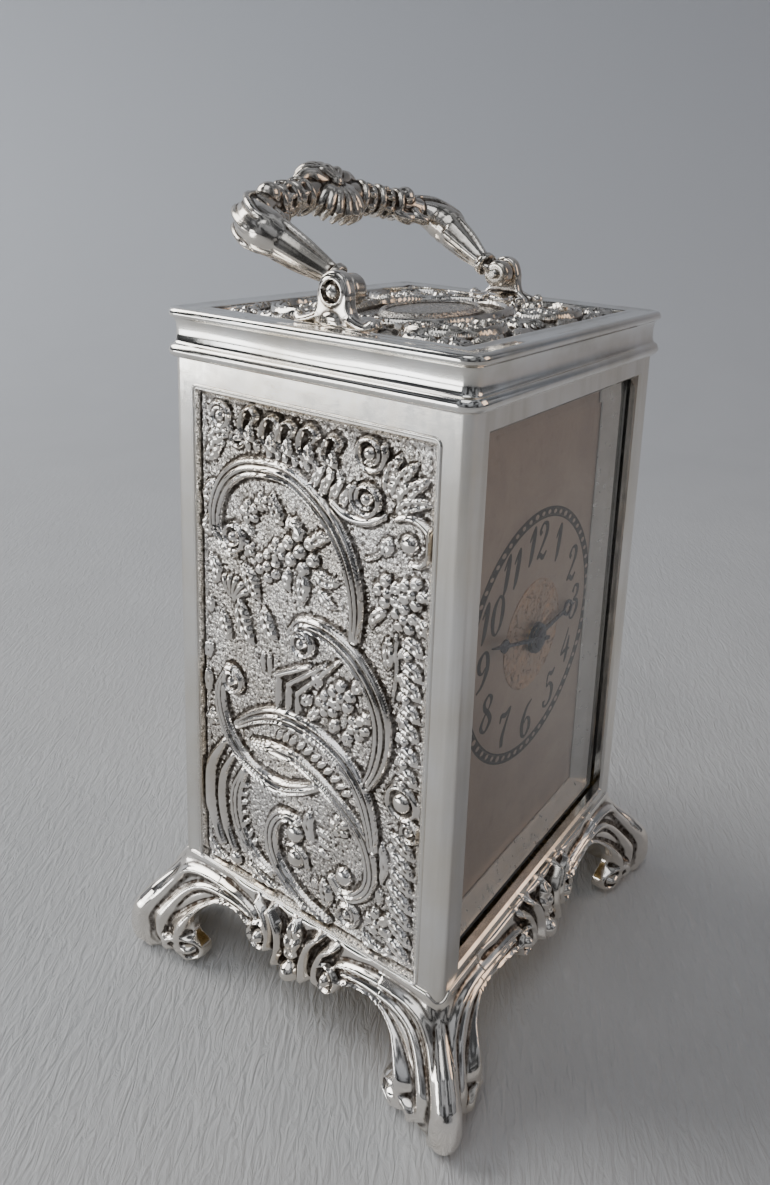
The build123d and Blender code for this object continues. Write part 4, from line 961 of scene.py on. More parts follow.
class Skirt:
    """One side's apron with half of the foot at each end. c is measured from the corner, z up."""

    def __init__(self, half, off, pitch=0.21):
        self.half, self.off, self.pitch = half, off, pitch
        h = half
        self.low = smooth(
            [(h + 0.5, 7.3), (h - 1.2, 7.5), (h - 2.6, 8.3), (h - 4.0, 9.3), (h - 5.4, 9.0),
             (h - 7.0, 9.0), (h - 8.3, 9.9), (h - 8.9, 11.2), (12.6, 11.9), (10.0, 11.7), (7.9, 10.8),
             (6.4, 9.2), (5.9, 7.2), (6.2, 5.2), (7.2, 3.6), (7.3, 2.0), (6.3, 0.8), (4.8, 0.25),
             (3.4, 0.0), (-0.5, 0.0)], 0.3)
        self.r = Relief(0, half, 0, SKIRT_TOP, pitch)
        D = self.r.along(self.low, 3.5)[0]
        corners = [tuple(p) for p in self.low] + [(-0.5, SKIRT_TOP + 1), (h + 0.5, SKIRT_TOP + 1)]
        inside = inside_polygon(self.r.U, self.r.V, corners)
        self.F = np.where(inside, 1, -1) * np.minimum(D, 9)
        self.chase(self.r, h)
        self.build()

    def chase(self, r, h):
        r.H += 0.45
        # a broad roll down the outer edge, a thin flat line inside it and a thick roll round the arch
        r.band([(1.3, 0.9), (1.0, 4), (1.0, 8), (1.3, 11.4), (2.4, 13.8), (5.0, 14.9), (8.5, 15.1),
                (12.5, 14.8), (h - 8.4, 14.0),
                (h - 7.2, 12.8)], 2.5, 1.45, 1, ends=(0.9, 0.5), flat=0.15, moat=0)
        r.band([(3.6, 1.2), (3.1, 4.0), (3.1, 8.4), (3.9, 11.2), (6.0, 12.7), (9.6, 13.2), (12.8, 13.1),
                (h - 8.6, 12.6)],
               1.3, 1.0, 1, ends=(0.9, 0.7), flat=0.7, moat=0.25)
        r.band([(5.6, 1.2), (4.9, 3.2), (5.1, 6.4), (6.1, 8.8), (8.1, 10.6), (10.6, 11.4), (12.9, 11.6),
                (h - 9.0, 11.3), (h - 7.9, 10.6)], 2.1, 2.0, 1, ends=(0.9, 0.8), flat=0.15, moat=0.35)
        r.volute((5.7, 2.7), 2.1, 1.9, 200, -1.1, 1.15)
        r.leaf([(6.7, 9.6), (6.3, 7.6), (6.6, 6.0)], 1.3, 1.6, 1)
        # the rings and the fanned lobes in the middle
        r.band(spiral((h - 6.3, 11.0), 1.9, 1.9, 90, 1.0), 1.0, 1.85, 1, ends=(1, 1), moat=0.2)
        r.ball((h - 6.3, 11.0), 1.2, 2.1)
        r.band([(h - 4.6, 10.2), (h - 4.5, 12.0), (h - 5.4, 14.2), (h - 7.4, 16.0)], 2.5, 1.9, 1,
               (0.9, 0.5), 0.1, moat=0.3)
        r.band([(h - 2.7, 9.0), (h - 2.3, 11.4), (h - 2.9, 14.0), (h - 4.6, 16.3)], 2.7, 2.2, 1,
               (0.9, 0.5), 0.1, moat=0.3)
        r.ball((h, 9.1), 1.7, 2.5)
        r.leaf([(h, 10.8), (h, 16.8)], 2.9, 2.2, 3)
        # rounded rims, and a level top that runs into the case and its corner
        rim = dome(1 - np.clip(self.F, 0, 0.9) / 0.9)
        top = dome(1 - np.clip(SKIRT_TOP - r.V, 0, 0.6) / 0.6)
        r.H = blur(r.H, 2) * np.maximum(rim, 0.12) * np.maximum(top, 0.15)
        r.H *= 1 - (1 - ease(r.U / 1.6)) * ease((r.V - 11.5) / 2.5)
        r.H *= 1 - 0.6 * ease((r.V - 14.8) / 1.4) * ease((9.0 - np.abs(r.U - 4.5)) / 3.0)

    def surface(self, c, z):
        """Points for a flat grid of (c, z): out away from the case, along the side, and up."""
        w = ease(1 - c / WING)
        flare = np.interp(z, HEIGHTS, FLARE_LINE) * w
        out = self.off + flare + np.interp(z, HEIGHTS, BULGE_LINE) * (1 - w)
        turn = CORNER - np.minimum(c, CORNER)
        out = out - ease((z - 10.5) / 3.5) * (CORNER - np.sqrt(np.clip(CORNER**2 - turn**2, 0, None)))
        z = z - ease((z - 13.5) / 3.4) * (1 - ease(c / 2.4))
        return np.stack([out, self.half - c + flare, z], -1)

    def nearest_on_outline(self, points):
        best = np.full(len(points), FAR)
        nearest = points.copy()
        for start, end in zip(self.low[:-1], self.low[1:]):
            d = end - start
            t = np.clip(((points - start) @ d) / max(d @ d, 1e-9), 0, 1)
            q = start + t[:, None] * d
            dist = np.hypot(*(points - q).T)
            closer = dist < best
            best[closer] = dist[closer]
            nearest[closer] = q[closer]
        return nearest

    def build(self):
        C, Z, F = self.r.U.copy(), self.r.V.copy(), self.F
        # points just outside move onto the outline
        near = (F < 0) & (F > -2.5 * self.pitch)
        moved = self.nearest_on_outline(np.stack([C[near], Z[near]], 1))
        C[near], Z[near] = np.clip(moved[:, 0], 0, self.half), np.clip(moved[:, 1], 0, SKIRT_TOP)
        base = self.surface(C, Z)
        normal = np.cross(np.gradient(base, axis=0), np.gradient(base, axis=1))
        normal /= np.linalg.norm(normal, axis=-1)[..., None] + 1e-9
        if normal[..., 0].mean() < 0:
            normal = -normal
        normal[:, :, 2] *= 0.6
        self.front = base + normal * self.r.H[..., None]
        self.back = base - np.array([SKIRT_THICK, 0, 0])
        self.back[..., 1] -= ease(1 - C / 2.0) * SKIRT_THICK
        inside = F >= 0
        self.cell = inside[:-1, :-1] | inside[1:, :-1] | inside[:-1, 1:] | inside[1:, 1:]

    def part(self, c_from, c_to, place, mirror):
        """Closed plate for the cells between two distances from the corner."""
        nv = self.r.U.shape[1]
        middle = 0.5 * (self.r.u[:-1] + self.r.u[1:])
        i, j = np.nonzero(self.cell & ((middle >= c_from) & (middle < c_to))[:, None])
        a = i * nv + j
        used, quads = np.unique(np.stack([a, a + nv, a + nv + 1, a + 1], 1).ravel(), return_inverse=True)
        quads = quads.reshape(-1, 4)
        n = len(used)
        edges = {}
        for q in quads:
            for k in range(4):
                edge = (q[k], q[(k + 1) % 4])
                if edge[::-1] in edges:
                    del edges[edge[::-1]]
                else:
                    edges[edge] = True
        rim = [(b, a, a + n, b + n) for a, b in edges]
        faces = [tuple(q) for q in quads] + [tuple(q[::-1] + n) for q in quads] + rim
        skins = [place(skin.reshape(-1, 3)[used], mirror) for skin in (self.front, self.back)]
        return np.vstack(skins), faces


def side_place(sign_out, axis):
    """Turns (out, along, up) into points for one side of the case; mirror picks one half of it."""

    def place(p, mirror):
        out, along, up = p[:, 0] * sign_out, p[:, 1] * mirror, p[:, 2]
        return np.stack([out, along, up] if axis == "x" else [along, out, up], 1)

    return place


skirt_side = Skirt(CASE_HALF_Y, CASE_HALF_X)
skirt_front = Skirt(CASE_HALF_X, CASE_HALF_Y)
SIDES = {
    "left": (skirt_side, side_place(-1, "x")),
    "right": (skirt_side, side_place(1, "x")),
    "front": (skirt_front, side_place(-1, "y")),
    "rear": (skirt_front, side_place(1, "y")),
}
for side, (skirt, place) in SIDES.items():
    halves = [skirt.part(WING, 99, place, half) for half in (1, -1)]
    ob = tidy_mesh("apron_scrolls_" + side, halves, 0.01, 60)
    store_recess(ob, (5, 24), (7.0, 1.6))
    finish_piece(ob, WORN, "case", "silver", "apron_" + side)


def foot(front_rear, fy, left_right, fx):
    """Two halves of skirt that meet at a corner, with a thick roll down the corner itself."""
    parts = []
    for side, half in ((left_right, fy), (front_rear, fx)):
        skirt, place = SIDES[side]
        parts.append(skirt.part(-1, WING + 0.1, place, half))
    zs = np.linspace(0.7, SKIRT_TOP - 1.6, 26)
    knots = (0, 2, 4, 9, 13, 15.3)
    thick = np.interp(zs, knots, (1.2, 2.1, 2.2, 1.75, 1.1, 0.3))
    inset = np.interp(zs, knots, (0.15, 0.7, 0.75, 0.5, 0.9, 1.0))
    flare = blur(np.interp(zs, HEIGHTS, FLARE_LINE)[None, :], 2)[0] - inset
    line = [(fx * (CASE_HALF_X + d), fy * (CASE_HALF_Y + d), z) for d, z in zip(flare, zs)]
    parts.append(tube(line, thick, 20))
    name = "%s_%s" % (front_rear, left_right)
    ob = tidy_mesh("foot_scroll_" + name, parts, 0.001, 60)
    remeshed(ob, 0.17, 3)
    finish_piece(ob, WORN, "case", "silver", "foot_" + name)


for front_rear, fy in (("front", -1), ("rear", 1)):
    for left_right, fx in (("left", -1), ("right", 1)):
        foot(front_rear, fy, left_right, fx)

# ------------------------------------------------------------------ cornice
QUARTERS = ((1, 1, 0), (-1, 1, 90), (-1, -1, 180), (1, -1, 270))


def cornice_piece():
    """The moulding's profile, as distance out and height, carried round the case's rounded corners."""
    profile = smooth(
        [(-2.4, 94.3), (0.1, 94.22), (0.7, 94.4), (1.08, 94.85), (1.12, 95.4), (0.85, 95.95),
         (0.42, 96.25), (0.24, 96.6), (0.12, 97.3), (0.12, 98.2), (0.22, 99.0), (0.42, 99.5),
         (0.78, 99.74), (1.02, 99.98), (1.06, 100.35), (0.92, 100.75), (0.6, 100.98), (0.1, 101.02),
         (-1.0, 100.9), (-2.4, 100.86), (-3.0, 100.98), (-3.5, 100.96), (-3.85, 100.6), (-3.9, 99.9),
         (-3.3, 99.5), (-2.4, 99.3)], 0.16, closed=True)
    ring = [(sx, sy, math.radians(start + 15 * k)) for sx, sy, start in QUARTERS for k in range(7)]
    verts = []
    for out, z in profile:
        r = max(0.35, 1.5 + out)
        for k, (sx, sy, a) in enumerate(ring):
            sx2, sy2, a2 = ring[(k + 1) % len(ring)]
            x, y, x2, y2 = (
                sign * (half + out - r) + r * trig(angle)
                for sign, half, trig, angle in (
                    (sx, CASE_HALF_X, math.cos, a), (sy, CASE_HALF_Y, math.sin, a),
                    (sx2, CASE_HALF_X, math.cos, a2), (sy2, CASE_HALF_Y, math.sin, a2)))
            verts.append((x, y, z))
            steps = 12 if (sx, sy) != (sx2, sy2) else 1
            for q in range(1, steps):
                t = q / steps
                wobble = 0.03 * math.sin(9.1 * t + 2.3 * k + z) * math.sin(math.pi * t)
                verts.append((x + (x2 - x) * t + wobble * math.cos(a),
                              y + (y2 - y) * t + wobble * math.sin(a), z))
    faces = ring_faces(len(profile), len(verts) // len(profile), closed=True)
    ob = tidy_mesh("cornice_moulding", [(verts, faces)], 0.0001, 50)
    store_recess(ob, (4, 10), (5.0, 2.0))
    finish_piece(ob, EDGED, "case", "silver", "cornice")


cornice_piece()


# ------------------------------------------------------------------ top plate
def top_relief():
    low, high = lo_hi("top_plate")
    r = Relief(low[0] - 0.2, high[0] + 0.2, low[1] - 0.2, high[1] + 0.2, 0.19)

    def everywhere(stroke, points, *numbers):
        """The same stroke in all four quarters of the plate: points are one point or a line."""
        for sx, sy in ((1, 1), (-1, 1), (1, -1), (-1, -1)):
            turned = np.array(points, float) * (sx, sy)
            stroke(turned, *numbers)

    everywhere(r.band, [(0.0, 9.6), (4.5, 9.4), (9.0, 8.2), (12.6, 5.8), (14.6, 2.4), (14.8, -0.4)],
               1.9, 1.35, 3)
    everywhere(r.band, [(4.4, 12.6), (6.4, 15.4), (10.4, 16.8), (14.6, 16.0), (17.6, 13.2), (18.4, 9.4),
                        (16.8, 6.4)],
               2.3, 1.45, 3)
    everywhere(r.volute, (15.6, 8.4), 1.7, 1.3, 0, 1.2, 0.9)
    everywhere(r.volute, (5.8, 12.4), 1.6, 1.3, 90, 1.2, 0.9)
    everywhere(r.flower, (10.8, 12.2), 2.4, 6, 1.35)
    everywhere(r.flower, (20.2, 16.9), 1.9, 5, 1.1)
    for width, h, veins, *points in (
        (1.8, 1.1, 4, (13.2, 13.4), (15.0, 12.2), (15.8, 10.6)),
        (1.4, 1.0, 3, (8.4, 13.6), (7.2, 15.0), (8.2, 16.0)),
        (1.7, 1.1, 4, (9.6, 10.4), (11.4, 9.2), (13.4, 8.8)),
        (2.0, 1.1, 4, (20.4, 14.2), (20.9, 11.4), (20.2, 8.8)),
        (1.8, 1.1, 4, (17.6, 18.0), (14.6, 18.9), (11.6, 18.6)),
        (1.6, 1.0, 4, (8.8, 18.9), (6.0, 18.2), (3.6, 18.8)),
        (1.0, 0.9, 2, (21.4, 19.0), (20.4, 18.6), (18.8, 19.0)),
        (2.0, 1.15, 4, (1.4, 11.6), (1.6, 14.0), (3.2, 16.6)),
        (1.8, 1.05, 3, (17.2, 4.4), (18.8, 3.4), (20.6, 5.2)),
    ):
        everywhere(r.leaf, points, width, h, veins)
    r.fan((0, 13.2), 4.6, 55, 125, 5, 1.35)
    r.fan((0, -13.2), 4.6, -125, -55, 5, 1.35)
    # the plain oval in the middle, with its own rim
    e = np.sqrt((r.U / 9.4) ** 2 + (r.V / 5.4) ** 2)
    r.H = np.where(e < 1.25, np.minimum(r.H, np.clip((e - 1.12) * 12, 0, 2)), r.H)
    r.matt(0.11)
    r.H = np.where(e < 1.12, 0, r.H)
    r.H = np.maximum(r.H, 1.25 * bell((e - 1) * 6.4 / 0.55))
    r.H = np.where(e < 0.93, np.maximum(r.H, 0.75 + 0.25 * (1 - e**2)), r.H)
    edge = r.to_edge()
    r.H = r.H * np.clip((edge - 0.2) / 0.5, 0, 1) - 0.25 * bell(edge / 0.35)
    r.H = blur(r.H)
    return r


def place_top(u, v, h):
    return np.stack([u, v, 100.2 + h], -1)


chased_top = slab_from_relief("chased_top", top_relief(), place_top, PANEL_BACK)
finish_piece(chased_top, TOP, "case", "silver", "top_plate")

# ------------------------------------------------------------------ handle
LEAN = math.radians(61.0)
PIVOT = 105.0


def hp(x, reach, n=0.0):
    """A point in the plane of the handle: across, away from the pivot, and above the plane."""
    return (x, reach * math.sin(LEAN) - n * math.cos(LEAN),
            PIVOT + reach * math.cos(LEAN) + n * math.sin(LEAN))


def rod(points, radii, sides=14, mirror=1):
    """A tube through handle points, whose radius follows the list of radii along it."""
    line = smooth([hp(mirror * p[0], *p[1:]) for p in points], 0.35)
    at = np.linspace(0, 1, len(line))
    return tube(line, np.interp(at, np.linspace(0, 1, len(radii)), radii), sides)


def handle_arm(s):
    """The knuckle on the pin, a half-round arm that widens to the elbow, and the curl at the elbow."""
    yield tube([(s * x, 0, PIVOT) for x in (17.5, 18.0, 19.9, 20.15)], [1.7, 2.15, 2.15, 1.9], 24)
    yield rod([(18.6, 0.8), (18.9, 3.6), (20.0, 7.6), (21.0, 11.6)], [1.15, 1.45, 2.1, 2.6], mirror=s)
    for q in (-1, 1):
        yield rod([(18.7, 1.5, q * 1.0), (19.0, 4.0, q * 1.25), (20.1, 7.8, q * 1.95),
                   (21.2, 12.2, q * 2.4)],
                  [0.4, 0.5, 0.62, 0.66], 8, s)
        yield rod([(18.6 + q * 1.0, 1.5), (18.9 + q * 1.25, 4.0), (19.9 + q * 1.9, 7.8),
                   (20.9 + q * 2.4, 12.0)],
                  [0.4, 0.5, 0.62, 0.7], 8, s)
    yield rod([(18.6, 2.3), (18.8, 3.3)], [1.95, 1.95], 18, s)
    yield rod([(21.0, 11.0), (21.7, 13.8), (21.2, 16.6), (19.4, 18.4), (17.2, 18.2), (16.3, 16.7),
               (17.2, 15.6), (18.2, 16.0)],
              [2.5, 3.05, 2.95, 2.4, 1.75, 1.25, 0.95, 0.7], 22, s)
    for n0 in (2.3, 0.0, -2.3):
        wide = 3.0 - 0.35 * abs(n0)
        yield rod([(21.2 + 0.72 * wide, 12.4, n0), (21.6 + wide, 14.6, n0),
                   (20.4 + 0.8 * wide, 17.2 + 0.5 * wide, n0),
                   (18.6, 18.6 + 0.72 * wide, n0 * 0.8)], [0.4, 0.5, 0.5, 0.35], 8, s)
    yield ball_mesh(hp(s * 15.9, 20.2, 1.6), 1.75, 10, 16)


def handle_bar(s):
    """Half of the leafy bar with its collars, beads, a lobe under it and leaves over it."""
    yield rod([(19.0, 18.6), (15.4, 20.2), (11.0, 21.5), (6.5, 22.5), (2.0, 23.1)],
              [2.1, 2.15, 2.1, 2.3, 2.6], 20, s)
    for x, reach, r in ((14.3, 20.6, 2.75), (12.7, 21.1, 2.5), (10.6, 21.6, 2.8), (8.9, 22.0, 2.6),
                        (6.9, 22.4, 2.95)):
        t = Vector(hp(s * (x - 0.5), reach + 0.16)) - Vector(hp(s * (x + 0.5), reach - 0.16))
        c = Vector(hp(s * x, reach))
        t.normalize()
        yield tube([c + t * d for d in (-0.55, -0.25, 0.25, 0.55)], [r * 0.86, r, r, r * 0.86], 22)
    for x, reach in ((11.6, 21.35), (7.9, 22.2)):
        for degrees in range(0, 360, 45):
            (c0, s0), (c1, s1), (c2, s2) = (polar(radius, degrees) for radius in (1.9, 2.45, 2.0))
            yield rod([(x + 0.8, reach - 0.3 + c0, s0), (x, reach + c1, s1),
                       (x - 0.8, reach + 0.3 + c2, s2)],
                      [0.35, 0.5, 0.35], 8, s)
    yield rod([(16.4, 17.2, -0.4), (14.6, 17.3, -0.6), (13.2, 18.5, -0.5), (12.9, 19.8, 0)],
              [0.8, 1.15, 1.0, 0.6], 10, s)
    for n0, q in ((2.0, 1.0), (-2.0, 1.0), (0.2, 1.25)):
        yield rod([(1.5, 23.0, n0), (4.2, 23.9 + 0.4 * q, n0 * 1.2), (6.0, 24.0, n0 * 1.0),
                   (7.2, 23.4, n0 * 0.7)],
                  [1.1, 1.35, 0.9, 0.35], 12, s)


def handle_shell():
    """The tall leafy shell in the middle of the bar."""
    yield ball_mesh(hp(0, 23.0, 0), 3.1, 14, 24, (1.2, 1.0, 1.0))
    for degrees in np.linspace(-78, 78, 8):
        ur, ux = polar(1, degrees)
        yield rod([(1.2 * ux, 23.2 + 0.8 * ur, 2.7), (3.2 * ux, 23.8 + 2.9 * ur, 2.7),
                   (4.7 * ux, 24.1 + 4.1 * ur, 0.9),
                   (4.9 * ux, 23.8 + 3.6 * ur, -1.2)], [0.55, 0.85, 0.95, 0.45], 10)
        yield rod([(1.0 * ux, 22.4 - 0.8 * ur, 2.3), (3.0 * ux, 21.6 - 2.4 * ur, 1.9),
                   (4.5 * ux, 21.0 - 3.7 * ur, 0.0),
                   (4.4 * ux, 21.2 - 3.2 * ur, -2.0)], [0.5, 0.72, 0.8, 0.45], 10)
    for degrees in (-52, 0, 52):
        ur, ux = polar(1, degrees)
        yield rod([(0.4 * ux, 22.6, 3.0), (2.0 * ux, 23.6 + 0.9 * ur, 3.35),
                   (3.3 * ux, 24.0 + 2.6 * ur, 2.9)],
                  [0.7, 0.95, 0.4], 10)
    yield ball_mesh(hp(0, 22.4, 2.6), 1.2)


def handle_piece():
    parts = [part for s in (-1, 1) for half in (handle_arm, handle_bar) for part in half(s)]
    ob = new_mesh("handle_cast", *join(parts + list(handle_shell())), 180)
    remeshed(ob, 0.2, 1)
    finish_piece(ob, CAST, "handle", "silver", "handle")


handle_piece()


# ------------------------------------------------------------------ brackets and pins
def ear(s):
    """The flat ear with a round top, in layers from its inner to its outer face."""
    half = [(1.7, 107.0), (2.5, 105.2), (2.6, 103.8), (3.0, 102.3), (4.3, 101.2), (5.0, 100.2)]
    outline = smooth([(-y, z) for y, z in half[::-1]] + [(0, 107.7)] + half, 0.3)
    layers = ((20.45, 0.0), (20.5, 0.25), (20.8, 0.42), (21.9, 0.42), (22.35, 0.22), (22.45, -0.1))
    middle = np.array([0, 103.6])
    d = outline - middle
    verts = []
    for x, grow in layers:
        p = middle + d * (1 + (grow - 0.42) / np.linalg.norm(d, axis=1)[:, None])
        verts += [(s * x, y, max(z, 100.0)) for y, z in p]
    rows, per = len(layers), len(outline)
    return np.array(verts), ring_faces(rows, per) + end_faces(rows, per)


def bracket_piece(s, node):
    """An ear spread into curled leaves at the foot, with a sunk hole for the pin."""
    parts = [ear(s)]
    for y in (-1, 1):
        for radius, *points in (
            (0.75, (21.7, 2.0, 102.0), (22.0, 3.8, 101.2), (22.0, 5.4, 100.9), (21.4, 6.2, 101.6)),
            (0.8, (20.8, 1.6, 101.4), (19.6, 3.4, 100.9), (18.2, 4.6, 101.0)),
            (0.8, (20.8, 0.8, 101.2), (18.6, 1.7, 100.9), (16.4, 1.9, 100.8)),
        ):
            parts.append(tube(smooth(np.array(points) * (s, y, 1), 0.3), radius, 10))
        parts.append(ball_mesh((s * 21.6, y * 5.9, 101.2), 0.9))
    parts.append(ball_mesh((s * 22.1, 0, 101.4), 1.25, 10, 16, (0.6, 1.5, 1.0)))
    parts.append(ball_mesh((s * 20.4, 0, 100.9), 1.6, 10, 16, (1.6, 2.2, 0.75)))
    ring = [polar(1.6, degrees) for degrees in range(0, 361, 15)]
    parts.append(tube([(s * 22.35, y, PIVOT + z) for y, z in ring], 0.3, 8, cap=False))
    v, f = join(parts)
    v[:, 2] = np.maximum(v[:, 2], 99.95)
    ob = tidy_mesh("bracket_ear_" + node[8:], [(v, f)], 0.0001, 180)
    remeshed(ob, 0.16, 1)
    me = ob.data
    points = read(me.vertices, "co", 3) / MM
    from_pin = np.hypot(points[:, 1], points[:, 2] - PIVOT)
    points[:, 0] -= s * np.where((from_pin < 1.45) & (s * points[:, 0] > 21.5), 0.85, 0)
    me.vertices.foreach_set("co", (points * MM).astype(np.float32).ravel())
    # the sunk hole round the pin is painted dark through the same mask: patina and painted shade in the hole
    patina_and_shade_mask = read(me.attributes["recess"].data, "value", 1, np.float32)[:, 0]
    patina_and_shade_mask[(from_pin < 1.55) & (s * points[:, 0] > 20.9)] = 0.9
    me.attributes["recess"].data.foreach_set("value", patina_and_shade_mask)
    me.update()
    finish_piece(ob, WORN, "case", "silver", node)


bracket_piece(-1, "bracket_left")
bracket_piece(1, "bracket_right")

PIN = ((16.6, 0.5), (16.9, 0.78), (19.0, 0.78), (21.6, 0.78), (21.7, 0.98), (22.2, 1.02), (22.6, 0.85),
       (22.85, 0.45),
       (22.95, 0.08))
pins = [tube([(s * x, 0, PIVOT) for x, _ in PIN], [r for _, r in PIN], 24) for s in (-1, 1)]
finish_piece(tidy_mesh("handle_pins_domed", pins, 0.0001, 40), POLISHED, "case", "silver", "handle_pins")

# ------------------------------------------------------------------ dial
DIAL_Y = -19.2
DIAL_Z = 56.0
PRINT_BACK = DIAL_Y + 0.05
NUMERAL_RING, NUMERAL_SIZE, DIGIT_GAP = 13.9, 5.6, 0.5


def ribbon(points, y0, y1, step=0.12):
    """A flat stroke of changing width between two depths: points are (x, z, width)."""
    p = smooth(points, step)
    d = np.gradient(p[:, :2], axis=0)
    d /= np.linalg.norm(d, axis=1)[:, None] + 1e-9
    side = np.stack([-d[:, 1], d[:, 0]], 1) * np.maximum(p[:, 2:3], 0.05) / 2
    m = len(p)
    verts = [(q[0], y, q[1]) for y in (y0, y1) for q in np.vstack([p[:, :2] + side, p[:, :2] - side])]
    faces = [(0, m, 3 * m, 2 * m), (m - 1, 3 * m - 1, 4 * m - 1, 2 * m - 1)]
    for k in range(m - 1):
        faces += [(k, k + 1, m + k + 1, m + k), (2 * m + k, 3 * m + k, 3 * m + k + 1, 2 * m + k + 1),
                  (k, 2 * m + k, 2 * m + k + 1, k + 1), (m + k, m + k + 1, 3 * m + k + 1, 3 * m + k)]
    return np.array(verts), faces


# each digit's pen strokes as (across, up, pen width) in a box one high
DIGITS = {
    "0": [[(0.32, 0.98, 0.05), (0.12, 0.78, 0.12), (0.06, 0.45, 0.16), (0.14, 0.14, 0.11),
           (0.32, 0.02, 0.05), (0.52, 0.2, 0.11), (0.58, 0.52, 0.16), (0.52, 0.84, 0.11),
           (0.32, 0.98, 0.05)]],
    "1": [[(0.04, 0.66, 0.04), (0.16, 0.82, 0.08), (0.3, 0.98, 0.07), (0.3, 0.8, 0.15),
           (0.26, 0.45, 0.17), (0.22, 0.18, 0.14), (0.14, 0.0, 0.05)]],
    "2": [[(0.16, 0.7, 0.13), (0.07, 0.8, 0.1), (0.22, 0.97, 0.06), (0.46, 0.9, 0.13), (0.5, 0.68, 0.14),
           (0.32, 0.4, 0.09), (0.06, 0.1, 0.06), (0.22, 0.14, 0.11), (0.42, 0.03, 0.12),
           (0.62, 0.16, 0.05)]],
    "3": [[(0.1, 0.8, 0.12), (0.22, 0.97, 0.06), (0.46, 0.88, 0.13), (0.44, 0.66, 0.11),
           (0.24, 0.55, 0.05), (0.5, 0.46, 0.11), (0.56, 0.22, 0.15), (0.34, 0.02, 0.08),
           (0.12, 0.06, 0.06), (0.06, 0.22, 0.13)]],
    "4": [[(0.38, 1.0, 0.06), (0.22, 0.68, 0.07), (0.02, 0.34, 0.06), (0.28, 0.36, 0.1),
           (0.64, 0.32, 0.05)],
          [(0.5, 0.74, 0.06), (0.44, 0.44, 0.15), (0.4, 0.16, 0.13), (0.34, 0.0, 0.05)]],
    "5": [[(0.6, 1.0, 0.05), (0.42, 0.9, 0.12), (0.18, 0.96, 0.07), (0.14, 0.62, 0.05),
           (0.34, 0.64, 0.08), (0.56, 0.44, 0.15), (0.52, 0.14, 0.12), (0.28, 0.01, 0.06),
           (0.08, 0.08, 0.08), (0.08, 0.22, 0.13)]],
    "6": [[(0.54, 0.98, 0.05), (0.26, 0.84, 0.1), (0.07, 0.5, 0.16), (0.14, 0.15, 0.13),
           (0.34, 0.02, 0.06), (0.56, 0.18, 0.14), (0.52, 0.42, 0.12), (0.34, 0.54, 0.05),
           (0.18, 0.44, 0.05)]],
    "7": [[(0.04, 0.76, 0.05), (0.1, 0.94, 0.1), (0.34, 0.88, 0.12), (0.62, 0.98, 0.05),
           (0.42, 0.62, 0.09), (0.28, 0.3, 0.15), (0.3, 0.03, 0.12)]],
    "8": [[(0.32, 0.98, 0.05), (0.12, 0.84, 0.11), (0.16, 0.66, 0.12), (0.4, 0.46, 0.13),
           (0.55, 0.22, 0.14), (0.3, 0.02, 0.06), (0.06, 0.2, 0.12), (0.18, 0.44, 0.06),
           (0.42, 0.62, 0.05), (0.5, 0.82, 0.11), (0.32, 0.98, 0.05)]],
    "9": [[(0.1, 0.02, 0.05), (0.38, 0.16, 0.1), (0.57, 0.5, 0.16), (0.5, 0.85, 0.13), (0.3, 0.98, 0.06),
           (0.08, 0.82, 0.14), (0.12, 0.58, 0.12), (0.3, 0.46, 0.05), (0.46, 0.56, 0.05)]],
}


def numeral(hour):
    """The strokes of one hour's digits, slanted a little, on the numeral ring."""
    cx, cz = polar(NUMERAL_RING, 90 - 30 * hour)
    text = str(hour)
    for k, digit in enumerate(text):
        shift = DIGIT_GAP * (k - (len(text) - 1) / 2)
        for stroke in DIGITS[digit]:
            points = []
            for x, z, w in stroke:
                slanted = (x - 0.31) * 0.86 + 0.12 * (z - 0.5) + shift
                points.append((cx + slanted * NUMERAL_SIZE, DIAL_Z + cz + (z - 0.5) * NUMERAL_SIZE,
                               w * NUMERAL_SIZE * 1.12))
            yield ribbon(points, DIAL_Y - 0.03, PRINT_BACK)


def minute_ring(radius, width, proud):
    around = np.linspace(0, TURN, 145)
    points = [(radius * math.cos(t), DIAL_Z + radius * math.sin(t), width) for t in around]
    return ribbon(points, DIAL_Y - proud, PRINT_BACK, 0.8)


printed = [stroke for hour in range(1, 13) for stroke in numeral(hour)]
printed += [minute_ring(18.7, 0.3, 0.03), minute_ring(17.45, 0.28, 0.03), minute_ring(18.08, 0.9, 0.02)]
finish_piece(tidy_mesh("dial_numerals", printed, 0.0005, 30), NUMERAL, "case", "dial_silvering")
dots = []
for k in range(60):
    x, z = polar(18.07, 6 * k + 3)
    dots.append(ball_mesh((x, DIAL_Y - 0.02, DIAL_Z + z), 0.34 if k % 5 else 0.4, 4, 10, (1.5, 0.12, 1)))
finish_piece(new_mesh("minute_dots", *join(dots), 60), SILVERING, "case", "dial_silvering")


